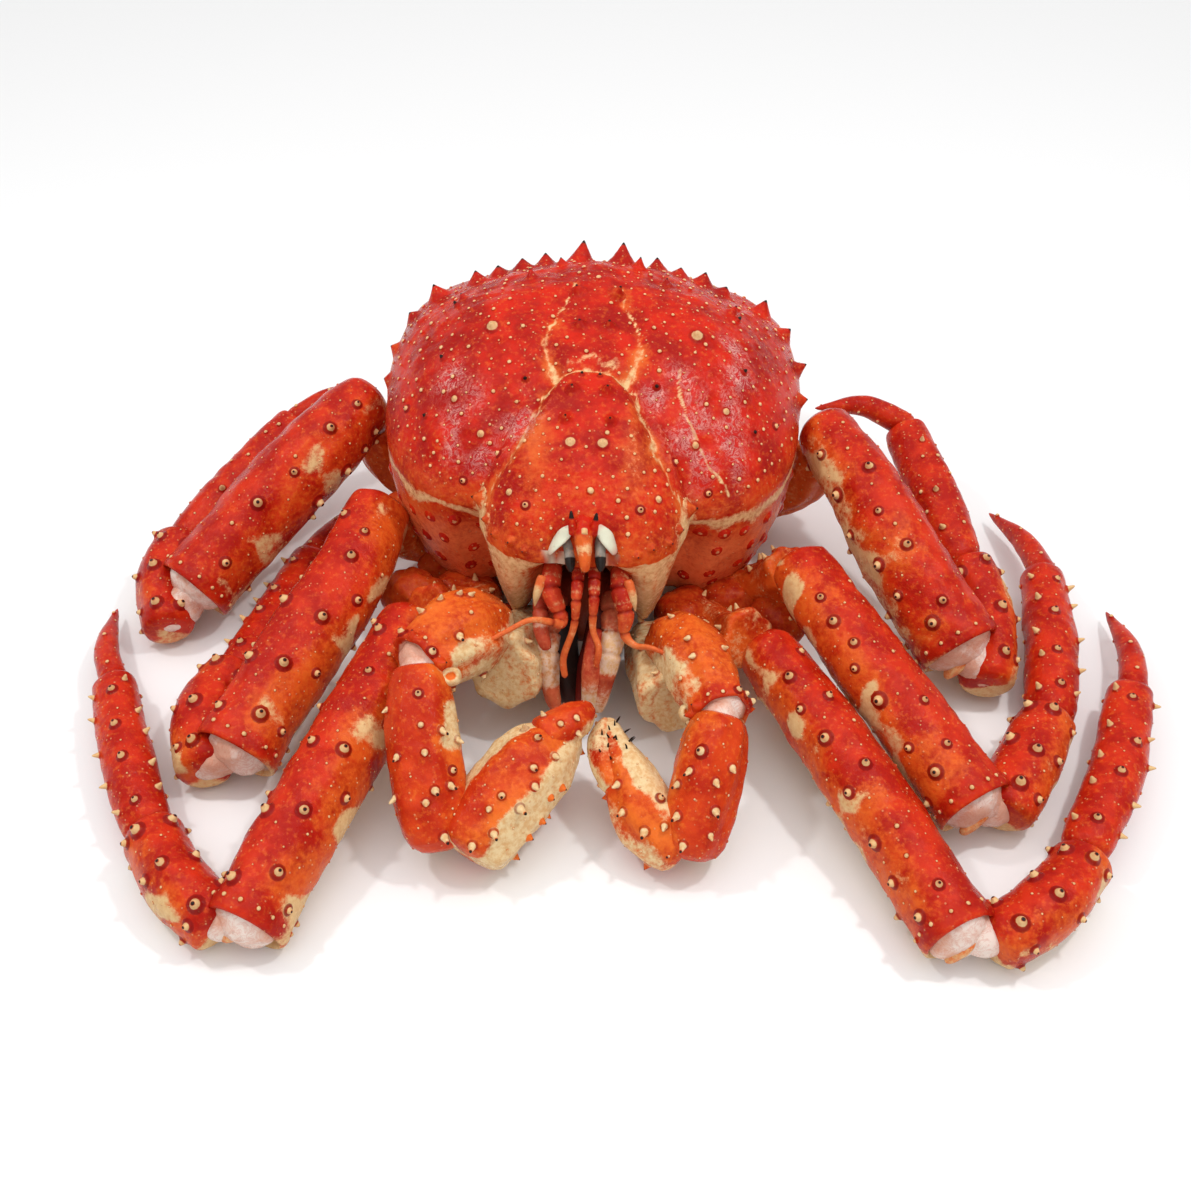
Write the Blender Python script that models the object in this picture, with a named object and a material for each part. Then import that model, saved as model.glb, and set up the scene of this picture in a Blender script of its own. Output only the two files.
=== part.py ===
"""Whole cooked red king crab lying on its folded abdomen, legs and claws folded.

Units: lengths below are in millimetres and are turned into metres by MM.
Axes: +X to the viewer's right, -Y towards the viewer (the crab's front), +Z up, floor at z = 0.
"""
import math
import random

import bmesh
import bpy
import numpy as np

for old in list(bpy.data.objects):
    bpy.data.objects.remove(old)

# ---- driving dimensions ----
MM = 0.001
ORIGIN = (9.4, -65.5)        # floor point under the middle of the whole crab, which becomes the origin
BODY_X, BODY_Y, BODY_Z = -1.0, 16.0, 88.0  # where the middle of the carapace margin stands
BODY_SCALE = 1.03
BODY_YAW, BODY_ROLL = -2.8, 1.5
GAP = 0.44                   # how much a neighbour is grown before it is cut out of a piece
# half outline of the carapace seen from above, from the rostrum round to the rear edge
OUTLINE = [(0, -106), (9, -105), (20, -104), (31, -100), (39, -92), (43, -83), (44.5, -72), (60, -67),
           (73, -59), (85.5, -42), (94, -4), (94, 26), (87, 54), (73, 71), (52, 81), (28, 85), (0, 84)]
WALL = 56.0                  # depth of the side walls under the margin
WALL_TILT = 0.62             # share of the lower half of the ball that makes the side walls
ROSTRUM = ((0.8, -99, 2), (2.5, -116, -2), 6.5, 18.0)  # foot and aim in the body frame, radius, height
THORAX_LONG, THORAX_BACK = 73.0, -2.0      # half length of the breast plate, and where its middle stands
THORAX_LEVEL, THORAX_THICK = -65.3, 8.6    # its middle under the margin plane, and half its thickness
MOUTH_SIZE, MOUTH_AT = (17, 22, 13), (3, -79, -52)  # half sizes and middle of the mouth field
ABDOMEN_LONG, ABDOMEN_BACK = 67.0, 12.0    # half length of the abdomen, and where its middle stands
SLAB_EDGE = 0.6              # how square the edges of the breast plate and the abdomen are
BLUNT, BLUNT_TIP = 7.0, 2.4  # how square the ends of a limb tube are, and those of a fingertip
SPINE_SIDES = 5
SPINE_ROOT = 2.0             # how deep a spine is sunk into its shell
SPINE_SINK = 0.97            # share of a tube's radius at which its spines stand
SPINE_EDGE = 0.97            # carapace spines stand inside this share of the margin
SPINE_LEAN = 1.2             # steepest lean of a carapace spine


def material(name, colour, rough):
    mat = bpy.data.materials.new(name)
    mat.use_nodes = True
    shader = mat.node_tree.nodes["Principled BSDF"]
    shader.inputs["Base Color"].default_value = (*colour, 1)
    shader.inputs["Roughness"].default_value = rough
    mat.diffuse_color = (*colour, 1)
    return mat


SHELL = (0.60, 0.075, 0.022)
ORANGE = (0.72, 0.17, 0.035)
CREAM = (0.74, 0.52, 0.32)
DARK = (0.05, 0.03, 0.03)


# ---- body frame: millimetres from the middle of the margin, turned and placed on the floor ----
half = np.array(OUTLINE, float)
ring = np.concatenate([half, half[::-1][1:-1] * [-1, 1]])
turn = np.arctan2(ring[:, 1], ring[:, 0])
order = np.argsort(turn)
turn, reach = turn[order], np.hypot(ring[:, 0], ring[:, 1])[order]
TURN = np.concatenate([turn - 2 * np.pi, turn, turn + 2 * np.pi])
REACH = np.concatenate([reach, reach, reach])


def body(x, y, h):
    """A point of the body frame as floor coordinates."""
    x, y, h = (np.asarray(v, float) for v in (x, y, h))
    b, a = math.radians(BODY_ROLL), math.radians(BODY_YAW)
    x, h = x * math.cos(b) + h * math.sin(b), h * math.cos(b) - x * math.sin(b)
    x, y = x * math.cos(a) - y * math.sin(a), x * math.sin(a) + y * math.cos(a)
    return np.stack(np.broadcast_arrays(BODY_SCALE * x + BODY_X, BODY_SCALE * y + BODY_Y,
                                        BODY_SCALE * h + BODY_Z), -1)


def margin(angle):
    return np.interp(angle, TURN, REACH)


def margin_height(y):
    return np.interp(y, [-105, -95, -84, -65, -40, -2, 30, 54, 70, 84],
                     [-7.5, -8, -8.5, -9, -10, -6, 1, 6, 9, 12])


def bump(x, y, cx, cy, wide, long):
    return np.exp(-((x - cx) / wide) ** 2 - ((y - cy) / long) ** 2)


def dome(x, y):
    """Height of the carapace's upper face over the margin plane."""
    share = np.minimum(np.hypot(x, y) / margin(np.arctan2(y, x)), 1.0)
    outer = np.interp(y, [-105, 0, 70], [2.7, 2.6, 2.1])
    inner = np.interp(y, [-105, 0, 70], [0.571, 0.60, 0.78])
    arch = (1 - share ** outer) ** inner
    crown = np.interp(y, [-105, -60, -20, 20, 60, 84], [31, 36, 42, 44, 41, 36])
    height = margin_height(y) * share ** 2 + crown * arch
    height = height + arch * 4.5 * bump(np.abs(x), y, 55, 8, 34, 46)
    height = height + arch * (1.5 * bump(x, y, 0, -48, 30, 30) + 3.0 * bump(x, y, 0, 32, 14, 22))
    height = height + arch * (6.0 * bump(x, y, 0, 58, 30, 36) - 8.0 * bump(np.abs(x), y, 66, 56, 24, 32))
    side = np.interp(y, [-82, -73, -64, -55, -47, -38], [42, 33, 27, 23, 19, 13])
    front_lobe = 1 / (1 + np.exp((np.abs(x) - side) / 1.8)) / (1 + np.exp((y + 36) / 2.0))
    groove = np.exp(-((np.abs(x) - side - 2) / 4.0) ** 2) * bump(0, y, 0, -56, 1, 26)
    neck = np.exp(-((y + 33 + 0.02 * x * x) / 4.0) ** 2) * np.exp(-(x / 24) ** 4)
    return height + arch * (3.0 * front_lobe - 3.0 * groove - 2.2 * neck)


CRAB = bpy.data.collections.new("king_crab")
bpy.context.scene.collection.children.link(CRAB)


def to_object(name, mesh, mat):
    obj = bpy.data.objects.new(name, mesh)
    CRAB.objects.link(obj)
    mesh.materials.append(mat)
    for poly in mesh.polygons:
        poly.use_smooth = True
    return obj


def ball(name, segments, rings):
    """Mesh of a unit UV sphere with its vertices as an array."""
    bm = bmesh.new()
    bmesh.ops.create_uvsphere(bm, u_segments=segments, v_segments=rings, radius=1.0)
    mesh = bpy.data.meshes.new(name)
    bm.to_mesh(mesh)
    bm.free()
    return mesh, np.array([v.co[:] for v in mesh.vertices])


def place(mesh, points):
    """Points in millimetres over the floor become the mesh, in metres from the origin."""
    points = np.array(points, float)
    points[:, 2] = np.maximum(points[:, 2], 0.0)
    points[:, 0] -= ORIGIN[0]
    points[:, 1] -= ORIGIN[1]
    mesh.vertices.foreach_set("co", (points * MM).ravel())
    mesh.update()


def curve_at(points, share):
    """Points of the smooth curve through a short chain, at shares 0..1 of its length."""
    points = np.array(points, float)
    steps = np.r_[0, np.cumsum(np.linalg.norm(np.diff(points[:, :3], axis=0), axis=1))]
    steps /= steps[-1]
    out = np.empty((len(share), points.shape[1]))
    ends = np.vstack([2 * points[0] - points[1], points, 2 * points[-1] - points[-2]])
    for k, s in enumerate(share):
        i = min(max(int(np.searchsorted(steps, s) - 1), 0), len(points) - 2)
        t = (s - steps[i]) / (steps[i + 1] - steps[i])
        p0, p1, p2, p3 = ends[i:i + 4]
        out[k] = 0.5 * (2 * p1 + (p2 - p0) * t + (2 * p0 - 5 * p1 + 4 * p2 - p3) * t * t
                        + (3 * p1 - p0 - 3 * p2 + p3) * t ** 3)
    return out


def limb_frames(chain, share):
    """Centre, radius, side and upper vectors of a limb at each share of its length."""
    here = curve_at(chain, share)
    before, after = (curve_at(chain, np.clip(share + step, 0, 1))[:, :3] for step in (-0.02, 0.02))
    ahead = after - before
    ahead /= np.linalg.norm(ahead, axis=1)[:, None]
    side = np.cross(ahead, [0, 0, 1.0])
    side /= np.linalg.norm(side, axis=1)[:, None]
    return here[:, :3], here[:, 3], side, np.cross(side, ahead)


def lengthened(chain, near, far):
    """The chain with its ends moved outwards by shares of their radii."""
    points = np.array(chain, float)
    for end, after, share in ((0, 1, near), (-1, -2, far)):
        away = points[end, :3] - points[after, :3]
        points[end, :3] += away / np.linalg.norm(away) * points[end, 3] * share
    return points


def limb(name, mat, chain, segments, rings, flat, blunt):
    """A blunt-ended limb along a chain of (x, y, z, radius), made from a UV sphere."""
    mesh, unit = ball(name, segments, rings)
    along = np.clip(unit[:, 2], -1, 1)
    share = (1 - along) / 2
    round_off = np.sqrt(np.maximum(1 - np.abs(along) ** blunt, 0))
    centre, radius, side, upper = limb_frames(chain, share)
    angle = np.arctan2(unit[:, 1], unit[:, 0])
    reach_ = (radius * round_off)[:, None]
    points = centre + reach_ * (side * np.cos(angle)[:, None] + upper * flat * np.sin(angle)[:, None])
    place(mesh, points)
    obj = to_object(name, mesh, mat)
    make_outward(obj)
    return obj


def make_outward(obj):
    bm = bmesh.new()
    bm.from_mesh(obj.data)
    bmesh.ops.remove_doubles(bm, verts=bm.verts, dist=0.00001)
    bmesh.ops.recalc_face_normals(bm, faces=bm.faces)
    bm.to_mesh(obj.data)
    bm.free()


# ---- helpers for joining spines and trimming neighbours ----
HELPERS = bpy.data.collections.new("helpers")
HELPERS.hide_render = True
bpy.context.scene.collection.children.link(HELPERS)


def apply_boolean(obj, operation):
    mod = obj.modifiers.new("join", "BOOLEAN")
    mod.operation, mod.operand_type, mod.solver = operation, "COLLECTION", "EXACT"
    mod.collection = HELPERS
    bpy.context.view_layer.objects.active = obj
    bpy.ops.object.modifier_apply(modifier=mod.name)
    for helper in list(HELPERS.objects):
        bpy.data.objects.remove(helper)


def cone(base, normal, radius, height):
    """One spine as a helper object: a low cone sunk a little into the shell."""
    normal = np.array(normal, float) / np.linalg.norm(normal)
    bm = bmesh.new()
    bmesh.ops.create_cone(bm, cap_ends=True, segments=SPINE_SIDES, radius1=radius * MM, radius2=0.0,
                          depth=(height + SPINE_ROOT) * MM)
    mesh = bpy.data.meshes.new("spine")
    bm.to_mesh(mesh)
    bm.free()
    obj = bpy.data.objects.new("spine", mesh)
    from_z = np.array([0, 0, 1.0])
    side = np.cross(from_z, normal)
    if np.linalg.norm(side) < 1e-6:
        side = np.array([1.0, 0, 0])
    side /= np.linalg.norm(side)
    third = np.cross(normal, side)
    centre = np.array(base) + normal * (height - SPINE_ROOT) / 2
    centre = (centre - [ORIGIN[0], ORIGIN[1], 0]) * MM
    points = np.array([v.co[:] for v in mesh.vertices])
    points = points[:, :1] * side + points[:, 1:2] * third + points[:, 2:] * normal + centre
    mesh.vertices.foreach_set("co", points.ravel())
    obj.hide_render, obj.display_type = True, "WIRE"
    HELPERS.objects.link(obj)


def join_spines(obj, spines):
    for base, normal, radius, height in spines:
        cone(base, normal, radius, height)
    apply_boolean(obj, "UNION")
    for poly in obj.data.polygons:
        poly.use_smooth = True


def trim(obj, others):
    """Cuts the neighbours, grown by GAP, out of the object."""
    for other in others:
        grown = other.data.copy()
        helper = bpy.data.objects.new("grown", grown)
        bm = bmesh.new()
        bm.from_mesh(grown)
        bm.normal_update()
        for v in bm.verts:
            v.co += v.normal * GAP * MM
        bm.to_mesh(grown)
        bm.free()
        helper.hide_render, helper.display_type = True, "WIRE"
        HELPERS.objects.link(helper)
    apply_boolean(obj, "DIFFERENCE")
    for poly in obj.data.polygons:
        poly.use_smooth = True


# ---- carapace: upper dome, side walls, cheeks and rostrum in one shell ----
def carapace_points(unit):
    angle = np.arctan2(unit[:, 1], unit[:, 0])
    tilt = np.arcsin(np.clip(unit[:, 2], -1, 1)) / (np.pi / 2)
    edge = margin(angle)
    share = np.where(tilt >= 0, np.cos(tilt * np.pi / 2) ** 0.9, 1.0)
    down = np.clip(-tilt / WALL_TILT, 0, 1)
    close = np.clip((-tilt - WALL_TILT) / (1 - WALL_TILT), 0, 1)
    mx, my = edge * np.cos(angle), edge * np.sin(angle)
    front = np.exp(-(mx / 21) ** 4) * (my < 0)
    cheek = np.exp(-((np.abs(mx) - 31) / 12) ** 4) * (my < -60)
    beside = np.exp(-((np.abs(mx) - 48) / 7) ** 4) * (my < -60)
    rear = np.clip((my - 40) / 40, 0, 1)
    depth = WALL * (1 - 0.2 * cheek - 0.52 * front * (1 - cheek) - 0.25 * rear)
    inward = 12 * down ** 2.2 + (15 * front + 8 * beside) * np.minimum(3 * down, 1) + 8 * rear * down
    reach_ = (edge * share - inward) * (1 - close)
    x, y = reach_ * np.cos(angle), reach_ * np.sin(angle)
    # each cheek narrows downwards to a blunt point
    flap = np.exp(-((np.abs(mx) - 30) / 16) ** 4) * (my < -60)
    x = x + 0.62 * flap * down * (1 - close) * (30 * np.sign(mx) - x)
    under = margin_height(my) * (1 - close) ** 2 - depth * down * (1 - close) - WALL * close * 0.92
    return x, y, np.where(tilt >= 0, dome(x, y), under)


mesh, unit = ball("carapace", 42, 22)
x, y, h = carapace_points(unit)
place(mesh, body(x, y, h))
shell_mat = material("cooked_shell", SHELL, 0.38)
carapace = to_object("carapace", mesh, shell_mat)
make_outward(carapace)

# spines of the right half of the carapace, mirrored to the left: (x, y, radius, height)
CARAPACE_SPINES = [(10, 60, 5.0, 10), (26, 63, 4.4, 7), (37, 60, 4.0, 6), (48, 60, 4.0, 6), (58, 54, 4.0, 6),
                   (76, 50, 4.0, 7), (87, 41, 3.6, 6), (93, 22, 3.0, 5), (94, 4, 2.8, 4), (8, 12, 3.0, 5),
                   (7, -9, 2.4, 5), (7, -46, 2.4, 5), (9, -58, 2.2, 4), (6.5, -68, 2.4, 4), (22, -90, 2.2, 4),
                   (41, -83, 2.8, 6), (34, -97, 2.2, 5), (25, -101, 2.0, 4), (5, -97, 2.4, 8), (44, -7, 2.6, 5),
                   (60, 22, 2.4, 5), (70, -16, 2.4, 5), (36, -30, 2.2, 5), (30, 30, 2.4, 5)]
spines = []
for sx, sy, radius, height in CARAPACE_SPINES:
    for sign in (1, -1):
        px, py = sign * sx, sy
        share = math.hypot(px, py) / float(margin(math.atan2(py, px)))
        if share > SPINE_EDGE:
            px, py = px * SPINE_EDGE / share, py * SPINE_EDGE / share
        hh = float(dome(px, py))
        gx = float(dome(px + 1.5, py) - dome(px - 1.5, py)) / 3
        gy = float(dome(px, py + 1.5) - dome(px, py - 1.5)) / 3
        slope = np.array([-gx, -gy, 1.0])
        slope[:2] *= min(1.0, SPINE_LEAN / max(np.hypot(*slope[:2]), 1e-6))
        base = body(px, py, hh)
        normal = body(*(np.array([px, py, hh]) + slope / np.linalg.norm(slope))) - base
        spines.append((base, normal, radius, height))
# the rostrum: a stout tooth that points forwards and a little down
foot, aim, radius, height = ROSTRUM
base = body(*foot)
spines.append((base, body(*aim) - base, radius, height))
join_spines(carapace, spines)

# ---- thorax and folded abdomen under the shell ----
pale_mat = material("pale_underside", CREAM, 0.5)
mesh, unit = ball("thorax", 20, 8)
flat_top = np.sign(unit[:, 2]) * np.abs(unit[:, 2]) ** SLAB_EDGE
wide = np.interp(unit[:, 1], [-1, -0.5, 0.3, 1], [34, 58, 72, 62])
level = THORAX_LEVEL + THORAX_THICK * flat_top
place(mesh, body(unit[:, 0] * wide, unit[:, 1] * THORAX_LONG + THORAX_BACK, level))
thorax = to_object("thorax", mesh, pale_mat)
make_outward(thorax)
# the fleshy mouth field bulges from its front end, between the cheeks
mesh, unit = ball("mouth_field", 12, 8)
place(mesh, body(*(unit * MOUTH_SIZE + MOUTH_AT).T))
mouth = bpy.data.objects.new("mouth_field", mesh)
mouth.hide_render, mouth.display_type = True, "WIRE"
HELPERS.objects.link(mouth)
apply_boolean(thorax, "UNION")

# the abdomen is a broad flap that curls under from the rear edge and lies flat on the floor
mesh, unit = ball("abdomen", 20, 8)
flat_top = np.sign(unit[:, 2]) * np.abs(unit[:, 2]) ** SLAB_EDGE
wide = np.interp(unit[:, 1], [-1, -0.4, 0.4, 1], [26, 46, 56, 50])
thick = np.interp(unit[:, 1], [-1, 0.2, 1], [9, 13, 14.6])
lift = np.interp(unit[:, 1], [-1, 0.2, 0.7, 1], [-78, -75, -71, -66])
place(mesh, body(unit[:, 0] * wide, unit[:, 1] * ABDOMEN_LONG + ABDOMEN_BACK, lift + thick * flat_top))
abdomen = to_object("abdomen", mesh, pale_mat)
make_outward(abdomen)

# ---- limbs: every chain is (x, y, z, radius) from the body outwards ----
orange_mat = material("orange_shell", ORANGE, 0.38)
RIGHT_LEG_A = {
    "ischium": [(72, 26, 15, 10), (88, 24, 19, 10.5), (103, 22, 30, 11.5), (109, 19, 48, 13)],
    "merus": [(110, 15, 68, 15), (126, -21, 60, 18), (143, -57, 44, 19.5), (159, -85, 30, 18.5)],
    "carpus": [(175, -97, 17, 12.5), (179, -66, 22, 14), (175, -42, 28, 12.5)],
    "propodus": [(171, -35, 30, 11), (167, -5, 36, 12), (157, 42, 45, 10.5)],
    "dactyl": [(151, 50, 49, 6.5), (136, 53, 55, 5.5), (109, 42, 62, 1.6)]}
RIGHT_LEG_B = {
    "ischium": [(60, -34, 15, 10), (73, -41, 19, 10.5), (84, -47, 28, 12), (89, -52, 38, 13)],
    "merus": [(92, -62, 50, 15), (110, -99, 43, 16.5), (132, -134, 31, 17), (151, -166, 21, 16.5)],
    "carpus": [(168, -167, 15, 13), (181, -146, 17, 14), (193, -126, 16, 12.5)],
    "propodus": [(198, -118, 15, 11), (207, -80, 18, 12), (213, -36, 19, 10)],
    "dactyl": [(214, -27, 19, 6.5), (212, -5, 15, 5.5), (203, 26, 7, 1.6)]}
RIGHT_LEG_C = {
    "ischium": [(46, -54, 15, 10), (60, -76, 21, 12), (67, -86, 30, 13.5)],
    "merus": [(75, -101, 37, 14.5), (98, -144, 31, 15.8), (118, -184, 23, 16), (136, -223, 16, 15.5)],
    "carpus": [(154, -227, 13, 12.5), (174, -215, 15, 13.5), (191, -197, 15, 12)],
    "propodus": [(196, -186, 14, 10.5), (217, -152, 16, 11.5), (235, -108, 16, 10)],
    "dactyl": [(239, -99, 17, 6.5), (244, -78, 14, 5.5), (244, -46, 7, 1.6)]}
LEFT_LEG_A = {
    "ischium": [(-72, 33, 15, 10), (-88, 35, 19, 10.5), (-103, 38, 30, 11.5), (-109, 40, 48, 13)],
    "merus": [(-113, 40, 69, 14), (-131, 15, 60, 18), (-156, -10, 44, 18.5), (-184, -44, 27, 17)],
    "carpus": [(-199, -61, 15, 12.5), (-205, -38, 19, 14), (-201, -19, 23, 12.5)],
    "propodus": [(-198, -12, 25, 11), (-178, 16, 34, 12.5), (-154, 47, 46, 11)],
    "dactyl": [(-147, 54, 50, 6.5), (-133, 61, 55, 5.5), (-111, 62, 60, 1.6)]}
LEFT_LEG_B = {
    "ischium": [(-64, -8, 15, 10), (-79, -9, 19, 10.5), (-92, -12, 28, 12), (-97, -16, 38, 13)],
    "merus": [(-101, -24, 51, 15), (-111, -60, 44, 17), (-132, -102, 32, 17.5), (-149, -138, 21, 16.5)],
    "carpus": [(-165, -144, 14.5, 12.8), (-170, -119, 15, 14), (-164.5, -97, 15, 12.5)],
    "propodus": [(-161, -89, 13, 10.5), (-152, -55, 11.5, 10.5), (-141, -14, 10.5, 9.5)],
    "dactyl": [(-139, -5, 10, 6.5), (-131, 14, 8, 5.5), (-117, 38, 5, 1.6)]}
LEFT_LEG_C = {
    "ischium": [(-50, -43, 15, 10), (-66, -64, 22, 12), (-73, -73, 32, 13.5)],
    "merus": [(-81, -88, 40, 15), (-99, -139, 33, 16.5), (-118, -185, 24, 16.5), (-132, -219, 16, 15)],
    "carpus": [(-147, -219, 13, 12.5), (-164, -203, 15, 13.5), (-177, -184, 15, 12)],
    "propodus": [(-182, -176, 14, 10.5), (-198, -142, 16, 11.5), (-213, -103, 16, 10)],
    "dactyl": [(-216, -95, 17, 6.5), (-224, -76, 14, 5.5), (-229, -44, 7, 1.6)]}
RIGHT_CLAW = {
    "ischium": [(25, -74, 17, 12), (29, -98, 25, 15), (33, -119, 29, 15.5)],
    "merus": [(35, -98, 40, 14), (42, -114, 46, 16), (50, -140, 46, 12)],
    "carpus": [(50, -151, 48, 11.5), (45, -166, 36, 14.3), (39, -186, 15, 14)],
    "palm": [(32, -185, 14, 11), (22, -177, 19, 13.5), (14, -162, 27, 11), (8, -149, 31, 7.5),
             (5, -136, 34, 4)],
    "finger": [(7, -160, 28, 7), (3, -149, 31, 7), (4, -137, 36, 3.6)]}
LEFT_CLAW = {
    "ischium": [(-28, -68, 17, 12), (-34, -90, 28, 16), (-39, -107, 35, 17)],
    "merus": [(-47, -92, 42, 14), (-56, -105, 52, 18.5), (-70, -123, 55, 13)],
    "carpus": [(-72, -132, 56, 12), (-69, -156, 38, 15.5), (-63, -184, 18, 15)],
    "palm": [(-47, -185, 17, 15), (-37, -170, 24, 18.5), (-23, -155, 30, 17), (-14, -147, 32, 11),
             (-7, -141, 33, 4.5)],
    "finger": [(-15, -146, 39, 9.5), (-8, -141, 40, 8), (-2, -133, 40, 4)]}

# rows of spines on a limb: (angle round the limb in degrees, first share, last share, count, radius, height)
ROWS = {
    "merus": [(60, 0.12, 0.88, 4, 3.6, 6), (115, 0.2, 0.9, 4, 3.4, 6), (15, 0.25, 0.85, 3, 3.0, 5),
              (160, 0.25, 0.85, 3, 3.0, 5)],
    "carpus": [(60, 0.25, 0.8, 3, 3.2, 6), (120, 0.2, 0.75, 3, 3.2, 6)],
    "propodus": [(60, 0.15, 0.85, 4, 2.6, 4), (125, 0.2, 0.8, 4, 2.6, 4)],
    "palm": [(60, 0.2, 0.55, 3, 3.0, 5), (120, 0.15, 0.5, 3, 3.0, 5)]}
# how far each part's two ends run on past its chain, in radii
ENDS = {"ischium": (0.0, 0.35), "merus": (0.35, 0.45), "carpus": (0.4, 0.4), "propodus": (0.35, 0.35),
        "palm": (0.5, 0.0), "dactyl": (1.5, 0.0), "finger": (1.0, 0.0)}
rng = random.Random(7)
limbs = {}
for side, chains in (("right_leg_a", RIGHT_LEG_A), ("right_leg_b", RIGHT_LEG_B), ("right_leg_c", RIGHT_LEG_C),
                     ("left_leg_a", LEFT_LEG_A), ("left_leg_b", LEFT_LEG_B), ("left_leg_c", LEFT_LEG_C),
                     ("right_claw", RIGHT_CLAW), ("left_claw", LEFT_CLAW)):
    for part, chain in chains.items():
        name = side + "_" + part
        fine = part in ("merus", "palm") or (part == "carpus" and "claw" in side)
        thin = part in ("dactyl", "finger")
        chain = lengthened(chain, *ENDS[part])
        sides, rings = (11, 9) if fine else (8, 6) if part == "ischium" else (8, 7)
        obj = limb(name, orange_mat if "claw" in side else shell_mat, chain, sides, rings,
                   0.9 if part == "propodus" else 1.0, BLUNT_TIP if thin else BLUNT)
        limbs[name] = obj
        spines = []
        for angle, first, last, count, radius, height in ROWS.get(part, []):
            if side.startswith("left"):
                angle = 180 - angle
            for share in np.linspace(first, last, count):
                share = min(max(share + rng.uniform(-0.03, 0.03), 0.08), 0.92)
                centre, r, across, upper = (v[0] for v in limb_frames(chain, np.array([share])))
                a = math.radians(angle + rng.uniform(-9, 9))
                out = across * math.cos(a) + upper * math.sin(a)
                r = r * math.sqrt(1 - abs(1 - 2 * share) ** BLUNT)
                spines.append((centre + out * r * SPINE_SINK, out, radius, height))
        if spines:
            join_spines(obj, spines)

# ---- eyes, feelers and mouth ----
dark_mat = material("dark_eye", DARK, 0.2)


def body_chain(points):
    return [(*body(px, py, ph), radius) for px, py, ph, radius in points]


# each is (material, sides, rings, bluntness, chain in the body frame)
FACE = {
    "eye_right": (dark_mat, 8, 6, 3.0, [(10, -88, 1, 3.4), (7.9, -99, 0.5, 3.2), (8.6, -109.5, -6, 2.4)]),
    "eye_left": (dark_mat, 8, 6, 3.0, [(-8, -88, -1, 3.4), (-5.2, -99, -1.5, 3.2), (-3.4, -109.5, -7, 2.4)]),
    "antenna_right": (orange_mat, 6, 15, 6.0, [
        (16, -96, -16, 4.2), (17, -106.5, -19.5, 4.2), (19.5, -113, -26, 3.6), (19.5, -117, -33, 2.4),
        (24, -120.5, -36, 1.5), (31, -124, -33.5, 1.2), (44, -130, -34, 0.9)]),
    "antenna_left": (orange_mat, 6, 15, 6.0, [
        (-11.5, -96, -16, 4.2), (-11.8, -106.5, -20, 4.2), (-7.6, -112.5, -27, 3.4), (-6.8, -116, -30, 2.4),
        (-11, -119, -26.5, 1.5), (-19, -122, -23, 1.2), (-28, -126, -26, 1.1), (-38.5, -130, -31, 0.9)]),
    "antennule_right": (orange_mat, 6, 10, 6.0, [
        (5.5, -96, -14, 3.0), (6.3, -110, -19, 2.4), (6.4, -117, -31, 1.5), (9.2, -122, -37, 1.5),
        (8.5, -126, -45, 1.7)]),
    "antennule_left": (orange_mat, 6, 10, 6.0, [
        (-0.5, -96, -14, 3.0), (-0.9, -110, -19, 2.4), (-1.4, -116, -31, 1.6), (-5.2, -122, -44, 1.6),
        (-4.2, -126, -52, 2.0)]),
    "maxilliped_right": (pale_mat, 8, 9, 3.0, [
        (15, -94, -34, 6.6), (14.6, -114, -40, 5.2), (12, -123, -54, 4.8), (9.5, -129, -69, 3.8)]),
    "maxilliped_left": (pale_mat, 8, 9, 3.0, [
        (-11, -94, -36, 6.6), (-12, -113, -43, 5.0), (-10.6, -123, -59, 4.4), (-7.5, -129, -70, 3.6)])}
for name, (mat, sides, rings, blunt, chain) in FACE.items():
    limbs[name] = limb(name, mat, body_chain(chain), sides, rings, 1.0, blunt)

# ---- clearances: each piece is trimmed by the neighbours that it bears on ----
trim(abdomen, [carapace])
trim(thorax, [carapace, abdomen])
for name in [n for n in limbs if n.endswith("_ischium")] + ["right_claw_merus", "left_claw_merus"]:
    trim(limbs[name], [carapace, thorax, abdomen])
for name in ("antenna", "antennule", "eye", "maxilliped"):
    for side in ("_right", "_left"):
        trim(limbs[name + side], [carapace, thorax])
for side in ("right", "left"):
    trim(limbs[side + "_claw_merus"], [limbs["antenna_" + side], limbs[side + "_claw_ischium"]])
    trim(limbs[side + "_claw_carpus"], [limbs[side + "_claw_merus"]])
    trim(limbs[side + "_claw_palm"], [limbs[side + "_claw_carpus"]])
    trim(limbs[side + "_claw_finger"], [limbs[side + "_claw_palm"]])
    trim(limbs[side + "_claw_ischium"], [limbs["maxilliped_" + side]])
    for leg in ("_leg_a", "_leg_b", "_leg_c"):
        chain = [limbs[side + leg + part] for part in ("_ischium", "_merus", "_carpus", "_propodus", "_dactyl")]
        for inner, outer in zip(chain, chain[1:]):
            trim(outer, [inner])
trim(limbs["right_leg_c_merus"], [limbs["right_leg_b_merus"]])
trim(limbs["left_claw_merus"], [limbs["left_leg_c_merus"], limbs["left_leg_c_ischium"]])
trim(limbs["right_claw_finger"], [limbs["left_claw_finger"], limbs["left_claw_palm"]])

# ---- each limb's object stands on its inner end, so that it turns about its own joint ----
for name, obj in limbs.items():
    points = np.array([v.co[:] for v in obj.data.vertices])
    middle = np.array([0.0 if "_leg_" in name or "_claw_" in name else -0.02, 0.07, 0.07])
    nearest = points[np.argmin(np.linalg.norm(points - middle, axis=1))]
    shift = np.round(nearest, 4)
    obj.data.vertices.foreach_set("co", (points - shift).ravel())
    obj.data.update()
    obj.location = shift
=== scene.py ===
"""Whole cooked red king crab on a pale floor: shell, legs, claws and mouth dressed over the CAD frame."""
import math

import bpy
import numpy as np
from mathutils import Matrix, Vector
from mathutils.bvhtree import BVHTree


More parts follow.
